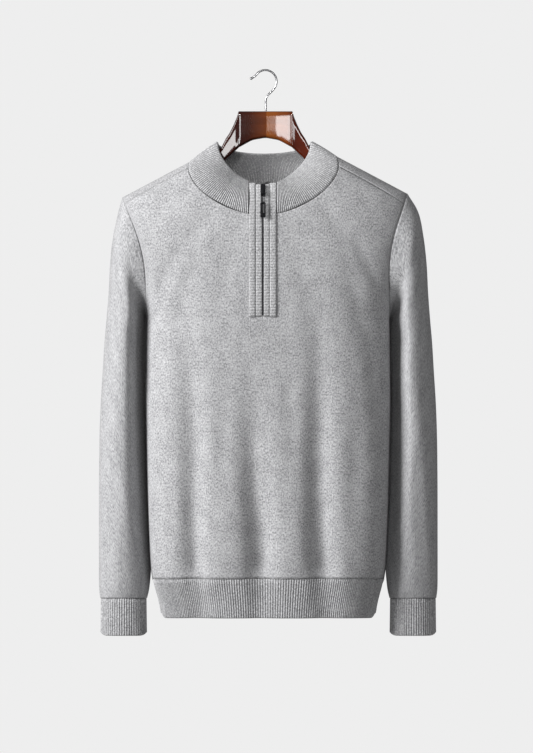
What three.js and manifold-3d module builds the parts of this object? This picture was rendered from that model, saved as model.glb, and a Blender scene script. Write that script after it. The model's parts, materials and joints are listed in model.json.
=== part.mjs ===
// A quarter zip sweater of fine rib and plain knit, hanging on a wooden hanger.
// Millimetres, +Z up, the front faces -Y. The origin is the inside of the hook's crown, where it hangs.
import * as THREE from 'three';
import { mergeVertices } from 'three/addons/utils/BufferGeometryUtils.js';
import Module from 'manifold-3d';

const wasm = await Module();
wasm.setup();

// Driving sizes of the garment
const garmentShift = 4.2;        // the cloth hangs a little to the right of the hook
const neckCentre = -8;           // the zip and collar sit left of the body's middle
const hemTop = -764;             // height of the seam between body and hem rib
const hemBottom = -822.8;
const underarm = { x: 184, z: -368 };
const armholeTop = { right: 209, left: 219 };
const armholeDepth = 52;         // half the armhole's front to back size
const armholeScoop = { front: 13, back: 5 };
const ridge = { x: 124, z: -139.5, slope: 0.53 };
const shoulderDrop = { right: 13, left: 8 };
const neckHalfWidth = 116;
const neckFrontZ = -218;
const neckBackTau = -9.6;        // square root of the back neck's depth under the ridge line
const zipBottom = -370.5;
const slitHalf = 3.5;
const cuffSeamZ = -793.2;
const cuffBottom = -849.8;
const knit = 2.5;                // thickness of the plain knit
const ribKnit = 3.0;
const collarKnit = 4.4;          // the collar is a doubled rib
const ribDepth = 0.9;
const seamGap = 0.35;
const sleeveGap = 0.5;

// Section table of the body: height, half width, half depth in front and behind, roundness
const bodySections = [
  { z: -90, width: 40, front: 36, back: 34, power: 2.0 },
  { z: -140, width: 125, front: 49, back: 46, power: 2.0 },
  { z: -185, width: 205, front: 66, back: 60, power: 2.1 },
  { z: -218, width: 184, front: 74, back: 66, power: 2.4 },
  { z: -260, width: 184, front: 79, back: 71, power: 2.7 },
  { z: -320, width: 184, front: 82, back: 75, power: 2.9 },
  { z: -368, width: 184, front: 83, back: 77, power: 3.0 },
  { z: -500, width: 185.6, front: 82, back: 77, power: 3.1 },
  { z: -650, width: 182, front: 80, back: 75, power: 3.1 },
  { z: -730, width: 178.5, front: 78, back: 73, power: 3.1 },
  { z: -764, width: 175.5, front: 74, back: 69, power: 3.0 },
  { z: -790, width: 167.5, front: 71.5, back: 66.5, power: 2.9 },
  { z: -823, width: 160, front: 68, back: 63, power: 2.8 },
];

// Lengthwise folds: where each valley runs at the chest and at the hem, its depth and half width
const frontFolds = [
  { chest: -122, hem: -108, depth: 15, spread: 19, start: -250 },
  { chest: -24, hem: -13, depth: 17, spread: 21, start: -400 },
  { chest: 72, hem: 82, depth: 16, spread: 20, start: -260 },
];
const backFolds = [
  { chest: -96, hem: -112, depth: 13, spread: 22, start: -300 },
  { chest: -10, hem: -22, depth: 15, spread: 24, start: -280 },
  { chest: 88, hem: 74, depth: 14, spread: 21, start: -320 },
];

// Sleeve rings below the armhole: inner x and z, outer x and z, half depths, how far the ring sits back,
// and how much further back its inner side is tucked, behind the edge of the body
const sleeveRings = [
  { inX: 188.2, inZ: -369.5, outX: 226.0, outZ: -213, front: 56, back: 55, setBack: 1, tuck: 0 },
  { inX: 188.8, inZ: -372.0, outX: 233.8, outZ: -250, front: 59, back: 59, setBack: 3, tuck: 0 },
  { inX: 188.4, inZ: -376.0, outX: 238.5, outZ: -291, front: 62, back: 63, setBack: 5, tuck: 5 },
  { inX: 188.2, inZ: -383.0, outX: 240.8, outZ: -332, front: 64, back: 66, setBack: 7, tuck: 14 },
  { inX: 187.0, inZ: -393.0, outX: 243.6, outZ: -372, front: 66, back: 68, setBack: 9, tuck: 24 },
  { inX: 184.6, inZ: -415.0, outX: 246.8, outZ: -409, front: 66, back: 69, setBack: 10, tuck: 36 },
  { inX: 182.4, inZ: -452.0, outX: 249.4, outZ: -452, front: 65, back: 68, setBack: 11, tuck: 42 },
  { inX: 181.8, inZ: -500.0, outX: 252.4, outZ: -500, front: 62, back: 66, setBack: 11, tuck: 42 },
  { inX: 180.8, inZ: -550.0, outX: 254.2, outZ: -550, front: 58, back: 62, setBack: 10, tuck: 39 },
  { inX: 179.6, inZ: -600.0, outX: 254.8, outZ: -600, front: 53, back: 56, setBack: 9, tuck: 35 },
  { inX: 178.2, inZ: -650.0, outX: 255.0, outZ: -650, front: 47, back: 49, setBack: 8, tuck: 30 },
  { inX: 176.4, inZ: -700.0, outX: 255.0, outZ: -700, front: 41, back: 42, setBack: 7, tuck: 24 },
  { inX: 176.4, inZ: -745.0, outX: 255.0, outZ: -745, front: 35, back: 35, setBack: 6, tuck: 15 },
  { inX: 179.0, inZ: -777.0, outX: 254.8, outZ: -777, front: 31, back: 31, setBack: 6, tuck: 6 },
  { inX: 182.4, inZ: -793.2, outX: 253.0, outZ: -793.2, front: 27, back: 27, setBack: 6, tuck: 0 },
];

const clamp01 = (t) => Math.min(1, Math.max(0, t));
const smooth = (t) => clamp01(t) ** 2 * (3 - 2 * clamp01(t));
const mix = (a, b, t) => a + (b - a) * t;

// A named column of a table with a height column, eased between its rows
function tableAt(table, column, z) {
  const rows = table;
  if (z >= rows[0].z) return rows[0][column];
  for (let i = 1; i < rows.length; i += 1) {
    if (z >= rows[i].z) {
      const t = (z - rows[i - 1].z) / (rows[i].z - rows[i - 1].z);
      return mix(rows[i - 1][column], rows[i][column], t);
    }
  }
  return rows[rows.length - 1][column];
}

const sideOf = (x) => (x < 0 ? 'left' : 'right');
const ridgeZ = (x) => ridge.z - ridge.slope * (Math.abs(x) - ridge.x);

// The armhole is an oval that leans outward to the shoulder, with a scoop in front
function armhole(angle, side) {
  const topX = armholeTop[side];
  const topZ = ridgeZ(topX);
  const height = (topZ - underarm.z) / 2;
  const z = underarm.z + height * (1 - Math.cos(angle));
  const depth = Math.sin(angle);
  const scoop = depth > 0 ? armholeScoop.front : armholeScoop.back;
  const lean = mix(underarm.x, topX, (z - underarm.z) / (2 * height));
  return { x: lean - scoop * Math.abs(depth) ** 3, y: -armholeDepth * depth, z };
}

// Half width of the body's level section, carried past the armhole's edge so that the sleeve goes on from it
function sectionWidth(z, side, face) {
  const topZ = ridgeZ(armholeTop[side]);
  if (z <= underarm.z) return tableAt(bodySections, 'width', z);
  if (z >= topZ) return ridge.x + (ridge.z - z) / ridge.slope;
  const height = (topZ - underarm.z) / 2;
  const cosine = 1 - (z - underarm.z) / height;
  const angle = Math.acos(Math.min(1, Math.max(-1, cosine)));
  const edge = armhole(face === 'front' ? angle : -angle, side);
  const depth = tableAt(bodySections, face, z);
  const power = tableAt(bodySections, 'power', z);
  return edge.x / (1 - (Math.abs(edge.y) / depth) ** power) ** (1 / power);
}

// Depth of the surface at x and z, and its outward direction from the section's own equation
function bodySurface(x, z, face) {
  const side = sideOf(x);
  const sign = face === 'front' ? -1 : 1;
  const power = tableAt(bodySections, 'power', z);
  const value = (height, depthAt) => {
    const width = sectionWidth(height, side, face);
    const depth = tableAt(bodySections, face, height);
    return (Math.abs(x) / width) ** power + (Math.abs(depthAt) / depth) ** power - 1;
  };
  const width = sectionWidth(z, side, face);
  const depth = tableAt(bodySections, face, z);
  const share = Math.max(0, 1 - (Math.abs(x) / width) ** power);
  const y = sign * depth * share ** (1 / power);
  const step = 1.5;
  const normal = new THREE.Vector3(
    Math.sign(x) * power * Math.abs(x) ** (power - 1) / width ** power,
    sign * power * Math.abs(y) ** (power - 1) / depth ** power,
    (value(z + step, y) - value(z - step, y)) / (2 * step),
  ).normalize();
  return { point: new THREE.Vector3(x, y, z), normal };
}

// Depth of the folds at a point of a panel: rounded valleys that deepen towards the hem
function foldDepth(x, z, face) {
  const folds = face === 'front' ? frontFolds : backFolds;
  let sum = 0;
  for (const fold of folds) {
    const down = clamp01((fold.start - z) / (fold.start - hemTop));
    const middle = mix(fold.chest, fold.hem, clamp01((-400 - z) / (-400 - hemTop)));
    const ribShare = mix(1, 0.4, smooth((hemTop + 24 - z) / 40));
    sum -= fold.depth * smooth(down) * ribShare * Math.exp(-(((x - middle) / fold.spread) ** 2));
  }
  return sum + 0.28 * Math.abs(sum);
}

function panelPoint(x, z, face, gapY = 0) {
  const { point, normal } = bodySurface(x, z, face);
  point.addScaledVector(normal, foldDepth(x, z, face));
  if (gapY) point.y += gapY;
  point.x += garmentShift;
  return { outer: point, normal };
}

// A closed wall from a grid of outer points with their outward directions. Cells that keep() turns
// down are left out, and every open edge of what is left gets a rim.
function wallMesh(grid, thickness, keep = () => true, closed = false) {
  const rows = grid.length;
  const columns = grid[0].length;
  const positions = [];
  const triangles = [];
  for (const layer of [0, 1]) {
    for (const row of grid) {
      for (const { outer, normal } of row) {
        const point = outer.clone().addScaledVector(normal, -thickness * layer);
        positions.push(point.x, point.y, point.z);
      }
    }
  }
  const at = (layer, i, j) => layer * rows * columns + i * columns + (j % columns);
  const span = closed ? columns : columns - 1;
  const kept = (i, j) => {
    const column = closed ? (j + columns) % columns : j;
    return i >= 0 && i < rows - 1 && column >= 0 && column < span && keep(i, column);
  };
  for (let i = 0; i < rows - 1; i += 1) {
    for (let j = 0; j < span; j += 1) {
      if (!kept(i, j)) continue;
      const outer = [at(0, i, j), at(0, i, j + 1), at(0, i + 1, j + 1), at(0, i + 1, j)];
      const inner = [at(1, i, j), at(1, i, j + 1), at(1, i + 1, j + 1), at(1, i + 1, j)];
      triangles.push(outer[0], outer[1], outer[2], outer[0], outer[2], outer[3]);
      triangles.push(inner[0], inner[2], inner[1], inner[0], inner[3], inner[2]);
      const rim = (a, b) => triangles.push(outer[a], inner[a], inner[b], outer[a], inner[b], outer[b]);
      if (!kept(i - 1, j)) rim(0, 1);
      if (!kept(i, j + 1)) rim(1, 2);
      if (!kept(i + 1, j)) rim(2, 3);
      if (!kept(i, j - 1)) rim(3, 0);
    }
  }
  return cleanGeometry(positions, triangles);
}

// Geometry from raw triangles, with unused points dropped and faces turned outward
function cleanGeometry(positions, triangles) {
  const geometry = new THREE.BufferGeometry();
  const flat = triangles.flatMap((k) => [positions[3 * k], positions[3 * k + 1], positions[3 * k + 2]]);
  geometry.setAttribute('position', new THREE.Float32BufferAttribute(flat, 3));
  const merged = mergeVertices(geometry, 1e-4);
  const p = merged.attributes.position;
  const index = merged.index.array;
  let volume = 0;
  const [a, b, c] = [new THREE.Vector3(), new THREE.Vector3(), new THREE.Vector3()];
  for (let k = 0; k < index.length; k += 3) {
    a.fromBufferAttribute(p, index[k]);
    b.fromBufferAttribute(p, index[k + 1]);
    c.fromBufferAttribute(p, index[k + 2]);
    volume += a.dot(b.cross(c));
  }
  if (volume < 0) {
    for (let k = 0; k < index.length; k += 3) {
      [index[k + 1], index[k + 2]] = [index[k + 2], index[k + 1]];
    }
  }
  return merged;
}

// A ribbed wall: the outside zigzags from rib to rib, the inside is plain with fewer columns.
// rows[i](u) gives an outer point and its direction for u from 0 to 1 along the band.
function ribbedWall(rows, ribs, thickness, closed) {
  const perInner = 4;
  const innerCount = Math.round(ribs / 2);
  const outerCount = innerCount * perInner;
  const positions = [];
  const triangles = [];
  const outerColumns = closed ? outerCount : outerCount + 1;
  const innerColumns = closed ? innerCount : innerCount + 1;
  for (const row of rows) {
    for (let j = 0; j < outerColumns; j += 1) {
      const { outer, normal } = row(j / outerCount);
      const lift = (j % 2 === 0 ? -0.5 : 0.5) * ribDepth;
      const point = outer.clone().addScaledVector(normal, lift);
      positions.push(point.x, point.y, point.z);
    }
  }
  for (const row of rows) {
    for (let j = 0; j < innerColumns; j += 1) {
      const { outer, normal } = row(j / innerCount);
      const point = outer.clone().addScaledVector(normal, -thickness);
      positions.push(point.x, point.y, point.z);
    }
  }
  const outerAt = (i, j) => i * outerColumns + (closed ? j % outerColumns : j);
  const innerAt = (i, j) => rows.length * outerColumns + i * innerColumns + (closed ? j % innerColumns : j);
  for (let i = 0; i < rows.length - 1; i += 1) {
    for (let j = 0; j < outerCount; j += 1) {
      const [a, b, c, d] = [outerAt(i, j), outerAt(i, j + 1), outerAt(i + 1, j + 1), outerAt(i + 1, j)];
      triangles.push(a, b, c, a, c, d);
    }
    for (let j = 0; j < innerCount; j += 1) {
      const [a, b, c, d] = [innerAt(i, j), innerAt(i, j + 1), innerAt(i + 1, j + 1), innerAt(i + 1, j)];
      triangles.push(a, c, b, a, d, c);
    }
  }
  const rim = (i, flip) => {
    const add = (a, b, c) => triangles.push(a, flip ? c : b, flip ? b : c);
    for (let j = 0; j < innerCount; j += 1) {
      const first = j * perInner;
      for (let k = 0; k < perInner / 2; k += 1) {
        add(innerAt(i, j), outerAt(i, first + k + 1), outerAt(i, first + k));
        add(innerAt(i, j + 1), outerAt(i, first + perInner - k), outerAt(i, first + perInner - k - 1));
      }
      add(innerAt(i, j), innerAt(i, j + 1), outerAt(i, first + perInner / 2));
    }
  };
  rim(0, false);
  rim(rows.length - 1, true);
  if (!closed) {
    for (let i = 0; i < rows.length - 1; i += 1) {
      const [a, b, c, d] = [outerAt(i, 0), outerAt(i + 1, 0), innerAt(i + 1, 0), innerAt(i, 0)];
      triangles.push(a, b, c, a, c, d);
      const end = [outerAt(i, outerCount), outerAt(i + 1, outerCount),
        innerAt(i + 1, innerCount), innerAt(i, innerCount)];
      triangles.push(end[0], end[2], end[1], end[0], end[3], end[2]);
    }
  }
  return cleanGeometry(positions, triangles);
}

// Columns of both panels: even turns round the neck, then even steps along the shoulder
const neckShare = neckHalfWidth / armholeTop.right;
const neckTurns = [2.5, 12, 24, 36, 48, 60, 72, 82, 90].map((degrees) => degrees * Math.PI / 180);
const shoulderSteps = [0.2, 0.4, 0.6, 0.78, 0.91, 1];
const halfColumns = [
  ...neckTurns.map((turn) => neckShare * Math.sin(turn)),
  ...shoulderSteps.map((t) => mix(neckShare, 1, t)),
];
halfColumns[0] = slitHalf / armholeTop.right;
const columnShares = [...halfColumns.map((q) => -q).reverse(), ...halfColumns];

// Where a column stands in a row whose armhole edge lies at edgeX
function columnX(q, edgeX, side, rightEdge) {
  const across = Math.abs(q);
  const neckX = neckShare * rightEdge;
  const distance = across <= neckShare
    ? across * rightEdge
    : mix(neckX, edgeX, (across - neckShare) / (1 - neckShare));
  return Math.sign(q) * distance + neckCentre * (1 - across ** 4);
}

// The shoulder seam at a column: a little in front of the ridge, ending in the armhole's front corner
function shoulderSeam(q) {
  const side = sideOf(q);
  const corner = armhole(cornerAngle(side), side);
  const x = Math.abs(columnX(q, corner.x, side, armhole(cornerAngle('right'), 'right').x));
  const along = clamp01((Math.abs(q) - neckShare) / (1 - neckShare));
  const drop = mix(shoulderDrop[side], ridgeZ(corner.x) - corner.z, along ** 3);
  return { x: Math.sign(q) * x, z: ridgeZ(x) - drop };
}

// Height of the front neckline at a column, from the neck point down to the zip
function neckFront(q) {
  const top = shoulderSeam(Math.sign(q) * neckShare).z;
  const across = Math.min(1, Math.abs(q) / neckShare);
  return top - (top - neckFrontZ) * (1 - across ** 1.7) ** (1 / 1.7);
}

const lowerRows = 11;
const frontUpperRows = 8;
const backUpperRows = 11;
const cornerAngle = (side) => {
  const topZ = ridgeZ(armholeTop[side]);
  const height = (topZ - underarm.z) / 2;
  return Math.acos(1 - (topZ - shoulderDrop[side] - 2 - underarm.z) / height);
};
const lowerZ = (i) => mix(hemTop, underarm.z, i / lowerRows);

function frontGrid() {
  const grid = [];
  for (let i = 0; i < lowerRows; i += 1) {
    const z = lowerZ(i);
    const edge = sectionWidth(z, 'right', 'front');
    grid.push(columnShares.map((q) => panelPoint(
      columnX(q, edge, sideOf(q), edge), z, 'front', -seamGap / 2)));
  }
  for (let i = 0; i <= frontUpperRows; i += 1) {
    const w = i / frontUpperRows;
    grid.push(columnShares.map((q) => {
      const side = sideOf(q);
      const edge = armhole(w * cornerAngle(side), side);
      const rightEdge = armhole(w * cornerAngle('right'), 'right').x;
      const corner = armhole(cornerAngle(side), side);
      const across = Math.abs(q);
      const x = columnX(q, edge.x, side, rightEdge);
      const top = across <= neckShare ? neckFront(q) : shoulderSeam(q).z;
      const edgeShare = (edge.z - underarm.z) / (corner.z - underarm.z);
      const rise = mix(w, edgeShare, across ** 5);
      const z = underarm.z + (top - seamGap - underarm.z) * rise;
      if (across === 1) return edgePoint(w * cornerAngle(side), side, 'front');
      return panelPoint(x, z, 'front');
    }));
  }
  return grid;
}

// A point on the armhole's edge, with the panel's own direction there
function edgePoint(angle, side, face) {
  const edge = armhole(angle, side);
  const sign = side === 'left' ? -1 : 1;
  const surface = bodySurface(sign * edge.x, edge.z, angle > 0 && angle < Math.PI ? 'front' : 'back');
  const outer = new THREE.Vector3(sign * edge.x + garmentShift, edge.y, edge.z);
  if (Math.abs(edge.y) < seamGap / 2) outer.y = face === 'front' ? -seamGap / 2 : seamGap / 2;
  return { outer, normal: surface.normal };
}

// The back panel runs over the shoulder's ridge to the seam in front. Its upper rows step evenly in
// tau, the square root of the depth under the ridge, negative behind and positive in front.
function backGrid() {
  const grid = [];
  for (let i = 0; i < lowerRows; i += 1) {
    const z = lowerZ(i);
    const edge = sectionWidth(z, 'right', 'back');
    grid.push(columnShares.map((q) => panelPoint(
      columnX(q, edge, sideOf(q), edge), z, 'back', seamGap / 2)));
  }
  for (let i = 0; i <= backUpperRows; i += 1) {
    const w = i / backUpperRows;
    grid.push(columnShares.map((q) => {
      const side = sideOf(q);
      const angle = -w * (2 * Math.PI - cornerAngle(side));
      const turned = angle < -Math.PI ? angle + 2 * Math.PI : angle;
      const edge = armhole(turned, side);
      const right = -w * (2 * Math.PI - cornerAngle('right'));
      const rightEdge = armhole(right < -Math.PI ? right + 2 * Math.PI : right, 'right').x;
      const across = Math.abs(q);
      const sign = Math.sign(q);
      if (across === 1) return edgePoint(turned, side, 'back');
      const x = columnX(q, edge.x, side, rightEdge);
      const seam = shoulderSeam(across < neckShare ? sign * neckShare : q);
      const frontTau = Math.sqrt(ridgeZ(seam.x) - seam.z);
      const turn = Math.min(1, across / neckShare);
      const endTau = frontTau - (frontTau - neckBackTau) * Math.sqrt(1 - turn ** 2);
      const startTau = -Math.sqrt(ridgeZ(x) - underarm.z);
      const edgeTau = (turned > 0 ? 1 : -1) * Math.sqrt(Math.max(0, ridgeZ(edge.x) - edge.z));
      const edgeStart = -Math.sqrt(ridgeZ(underarm.x) - underarm.z);
      const corner = armhole(cornerAngle(side), side);
      const edgeEnd = Math.sqrt(Math.max(0, ridgeZ(corner.x) - corner.z));
      const edgeShare = (edgeTau - edgeStart) / (edgeEnd - edgeStart);
      const rise = mix(w, edgeShare, across ** 5);
      const tau = mix(startTau, endTau, rise);
      const z = ridgeZ(x) - tau ** 2;
      return panelPoint(x, z, tau > 0 ? 'front' : 'back');
    }));
  }
  return grid;
}

const front = frontGrid();
const back = backGrid();
const middle = columnShares.length / 2 - 1;
const isSlit = (i, j) => j === middle && i >= lowerRows;

// The sleeve starts on the same points as both panels' armhole edges, then falls in oval rings
function sleeveGrid(side) {
  const sign = side === 'left' ? -1 : 1;
  const corner = cornerAngle(side);
  const angles = [];
  for (let i = 0; i < frontUpperRows; i += 1) angles.push(corner * i / frontUpperRows);
  for (let i = 0; i < backUpperRows; i += 1) angles.push(mix(corner, 2 * Math.PI, i / backUpperRows));
  const first = angles.map((angle) => {
    const turned = angle > Math.PI ? angle - 2 * Math.PI : angle;
    const { outer, normal } = edgePoint(turned, side, 'front');
    const nearUnderarm = Math.max(0, Math.cos(angle)) ** 4;
    outer.x += sign * (sleeveGap + 1.1 * nearUnderarm);
    return { outer, normal };
  });
  const rings = sleeveRings.map((ring) => angles.map((angle) => {
    const half = (1 - Math.cos(angle)) / 2;
    const depth = angle < Math.PI ? -ring.front : ring.back;
    const bend = angle < Math.PI / 2 ? mix(0.9, 2, clamp01(ring.tuck / 20)) : 0.9;
    const outer = new THREE.Vector3(
      sign * mix(ring.inX, ring.outX, half) + garmentShift,
      depth * Math.abs(Math.sin(angle)) ** bend + ring.setBack + ring.tuck * Math.max(0, Math.cos(angle)) ** 2,
      mix(ring.inZ, ring.outZ, half),
    );
    return { outer };
  }));
  rings.forEach((ring, i) => {
    const above = i > 0 ? rings[i - 1] : first;
    const below = i < rings.length - 1 ? rings[i + 1] : ring;
    ring.forEach((spot, j) => {
      const next = ring[(j + 1) % ring.length].outer;
      const previous = ring[(j - 1 + ring.length) % ring.length].outer;
      const down = below[j].outer.clone().sub(above[j].outer);
      spot.normal = next.clone().sub(previous).cross(down).multiplyScalar(-sign).normalize();
    });
  });
  rings[rings.length - 1].forEach(({ normal }) => normal.setZ(0).normalize());
  return [first, ...rings];
}

// A level ring of the body, for the hem rib: u runs once round from the left side over the front
function hemRow(z, face) {
  const edge = sectionWidth(z, 'right', face);
  return (u) => {
    const turn = mix(-Math.PI / 2, Math.PI / 2, u);
    const x = edge * Math.sin(turn);
    const spot = panelPoint(x, z, face, face === 'front' ? -seamGap / 2 : seamGap / 2);
    spot.normal.setZ(0).normalize();
    return spot;
  };
}

function cuffRow(side, z, widthShare, depthHalf) {
  const sign = side === 'left' ? -1 : 1;
  const last = sleeveRings[sleeveRings.length - 1];
  const centre = (last.inX + last.outX) / 2;
  const halfWidth = (last.outX - last.inX) / 2 * widthShare;
  return (u) => {
    const turn = u * 2 * Math.PI;
    const outer = new THREE.Vector3(
      sign * (centre - halfWidth * Math.cos(turn)) + garmentShift,
      -depthHalf * Math.sin(turn) + last.setBack,
      z,
    );
    const normal = new THREE.Vector3(
      -sign * Math.cos(turn) / halfWidth, -Math.sin(turn) / depthHalf, 0).normalize();
    return { outer, normal };
  };
}

// The neck seam runs from the zip round the back to the zip again, through both panels' top points
function neckSeam() {
  const isNeck = (q) => Math.abs(q) <= neckShare + 1e-6;
  const pick = (grid) => grid[grid.length - 1].filter((_, j) => isNeck(columnShares[j]));
  const frontTop = pick(front);
  const backTop = pick(back);
  const half = frontTop.length / 2;
  return [...frontTop.slice(half), ...backTop.reverse(), ...frontTop.slice(0, half)];
}

// A point at a share of a chain's length
function alongChain(chain) {
  const lengths = [0];
  for (let i = 1; i < chain.length; i += 1) {
    lengths.push(lengths[i - 1] + chain[i].outer.distanceTo(chain[i - 1].outer));
  }
  const total = lengths[lengths.length - 1];
  return (u) => {
    const target = clamp01(u) * total;
    let i = 1;
    while (i < chain.length - 1 && lengths[i] < target) i += 1;
    const t = clamp01((target - lengths[i - 1]) / (lengths[i] - lengths[i - 1] || 1));
    return {
      outer: chain[i - 1].outer.clone().lerp(chain[i].outer, t),
      normal: chain[i - 1].normal.clone().lerp(chain[i].normal, t).normalize(),
    };
  };
}

// Top edge of the collar at a turn from the front (0) round to the back (pi)
const collarTop = { z: -105, halfWidth: 71, frontDip: 66, backDip: 18, frontY: -55, backY: 42, centre: -2 };
function collarEdge(turn) {
  const across = Math.sin(turn);
  const forward = Math.cos(turn);
  const dip = forward > 0 ? collarTop.frontDip * (1 - Math.abs(across) ** 1.7) ** (1 / 1.7)
    : collarTop.backDip * Math.abs(forward);
  return new THREE.Vector3(
    collarTop.halfWidth * across + collarTop.centre,
    forward > 0 ? collarTop.frontY * forward : -collarTop.backY * forward,
    collarTop.z - dip,
  );
}

const zipX = garmentShift + neckCentre;
const bandHalf = 22;              // half width of the whole zip placket
const neckDepth = 68;               // half depth of the neck hole, for the turn round it
const collarRows = 2;
const collarStart = 0.042;           // shares of the neck seam where the collar's two ends stand
const collarEnd = 1 - 0.05;
const collarEndX = { right: zipX + 21.2, left: zipX - 21.6 };
function collarBand() {
  const seam = alongChain(neckSeam());
  const along = (u) => mix(collarStart, collarEnd, u);
  const turnAt = (u) => {
    const { outer } = seam(along(u));
    const turn = Math.atan2((outer.x - zipX) / neckHalfWidth, -outer.y / neckDepth);
    return turn < 0 ? turn + 2 * Math.PI : turn;
  };
  const plain = (u, t) => {
    const base = seam(along(u));
    const top = collarEdge(turnAt(u));
    const rise = top.clone().sub(base.outer);
    const around = seam(along(u) + 0.01).outer.clone().sub(seam(along(u) - 0.01).outer);
    const out = rise.clone().cross(around).normalize();
    const middleOut = new THREE.Vector3(base.outer.x - zipX, base.outer.y, 0);
    if (out.dot(middleOut) < 0) out.negate();
    const lifted = base.outer.clone().addScaledVector(rise.clone().normalize(), 0.8);
    const swell = 0.6 + 4 * Math.abs(Math.cos(turnAt(u)));
    const outer = lifted.lerp(top, t).addScaledVector(out, swell * Math.sin(Math.PI * t));
    return { outer, normal: t === 0 ? base.normal.clone() : out };
  };
  // Near each end the wall is drawn along itself until it stands beside the zip's band
  const spot = (u, t) => {
    const made = plain(u, t);
    for (const [end, step, x] of [[0, 0.01, collarEndX.right], [1, -0.01, collarEndX.left]]) {
      const weight = 1 - smooth(Math.abs(u - end) / 0.07);
      if (weight > 0) {
        const tip = plain(end, t).outer;
        const way = tip.clone().sub(plain(end + step, t).outer);
        made.outer.addScaledVector(way, weight * (x - tip.x) / way.x);
      }
    }
    return made;
  };
  const rows = [];
  for (let i = 0; i <= collarRows; i += 1) rows.push((u) => spot(u, i / collarRows));
  return ribbedWall(rows, 150, collarKnit, false);
}

// The line down the middle of the front, from the collar's top edge to below the zip
const zipTop = -169.5;
function zipLine(z) {
  if (z > neckFrontZ) {
    return mix(panelPoint(neckCentre, neckFrontZ, 'front').outer.y, collarTop.frontY,
      (z - neckFrontZ) / (zipTop - neckFrontZ));
  }
  return panelPoint(neckCentre, z, 'front').outer.y;
}

// A strip of knit laid along the zip between two distances from it, with short ridges across
function zipStrip(from, to, lift, thickness, topZ, bottomZ, steps) {
  const grid = [];
  for (let i = 0; i <= steps; i += 1) {
    const z = mix(bottomZ, topZ, i / steps);
    const slope = (zipLine(z + 3) - zipLine(z - 3)) / 6;
    const normal = new THREE.Vector3(0, -1, slope).normalize();
    const ridgeLift = i % 2 ? 0.25 : 0;
    grid.push([from, mix(from, to, 0.5), to].map((x, j) => {
      const outer = new THREE.Vector3(zipX + x, zipLine(z), z);
      outer.addScaledVector(normal, lift + thickness + (j === 1 ? 0.5 + ridgeLift : 0));
      return { outer, normal };
    }));
  }
  return wallMesh(grid, thickness);
}

function placed(geometry, x, y, z) {
  geometry.translate(x, y, z);
  return geometry;
}

// Zip hardware, first upright at the origin and then leaned onto the collar's slope
const slider = { width: 7.2, height: 18, thickness: 3.2, top: -171, lift: 4.75 };
const bar = { radius: 0.8, gap: 3.0 };
const pull = { width: 8, length: 24.2, thickness: 1.7, linkLength: 17.2 };
const lean = Math.atan2(zipLine(-176) - zipLine(-206), 30);

function solidOf(geometry) {
  const bare = geometry.clone();
  bare.deleteAttribute('normal');
  bare.deleteAttribute('uv');
  const merged = mergeVertices(bare, 1e-4);
  return new wasm.Manifold(new wasm.Mesh({
    numProp: 3,
    vertProperties: new Float32Array(merged.attributes.position.array),
    triVerts: new Uint32Array(merged.index.array),
  }));
}

function geometryOf(solid) {
  const mesh = solid.getMesh();
  const geometry = new THREE.BufferGeometry();
  geometry.setAttribute('position', new THREE.BufferAttribute(new Float32Array(mesh.vertProperties), 3));
  geometry.setIndex(new THREE.BufferAttribute(new Uint32Array(mesh.triVerts), 1));
  return geometry;
}

const join = (parts) => geometryOf(parts.map(solidOf).reduce((sum, next) => sum.add(next)));
const hinge = { y: -slider.thickness / 2 - bar.gap / 2, z: -slider.height / 2 + 3.4 };

// The slider is a body with a low bridge over the pull's bar
function sliderBody() {
  const bridgeY = -slider.thickness / 2 - bar.gap - 0.6;
  const postY = (bridgeY - slider.thickness / 2) / 2 + 0.1;
  const postDepth = Math.abs(bridgeY + slider.thickness / 2) + 0.8;
  const body = new THREE.BoxGeometry(slider.width, slider.thickness, slider.height);
  const bridge = placed(new THREE.BoxGeometry(2.6, 1.2, 8), 0, bridgeY, hinge.z + 1.2);
  const upper = placed(new THREE.BoxGeometry(2.6, postDepth, 1.6), 0, postY, hinge.z + 4.4);
  const lower = placed(new THREE.BoxGeometry(2.6, postDepth, 1.2), 0, postY, hinge.z - 2.2);
  return join([body, bridge, upper, lower]);
}

// The pull is a wire link with a flat slotted tab
function pullTab() {
  const side = (x) => placed(new THREE.BoxGeometry(1.2, 1.4, pull.linkLength), x, 0, -pull.linkLength / 2 + 0.7);
  const bars = [0, -pull.linkLength + 1.2].map((z) => placed(new THREE.BoxGeometry(6.2, 1.4, 1.4), 0, 0, z));
  const outline = new THREE.Shape();
  const [w, h] = [pull.width / 2, pull.length];
  outline.moveTo(-w + 1.2, 0);
  outline.lineTo(w - 1.2, 0);
  outline.lineTo(w, -1.2);
  outline.lineTo(w, -h + 1.2);
  outline.lineTo(w - 1.2, -h);
  outline.lineTo(-w + 1.2, -h);
  outline.lineTo(-w, -h + 1.2);
  outline.lineTo(-w, -1.2);
  outline.closePath();
  const slot = new THREE.Path();
  slot.moveTo(-1.5, -2.4);
  slot.lineTo(-1.5, -17.6);
  slot.lineTo(1.5, -17.6);
  slot.lineTo(1.5, -2.4);
  slot.closePath();
  outline.holes.push(slot);
  const plate = new THREE.ExtrudeGeometry(outline, { depth: pull.thickness, bevelEnabled: false });
  plate.rotateX(Math.PI / 2);
  plate.translate(0, pull.thickness / 2, -pull.linkLength + 1.4);
  return join([side(-2.5), side(2.5), ...bars, plate]);
}

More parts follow.
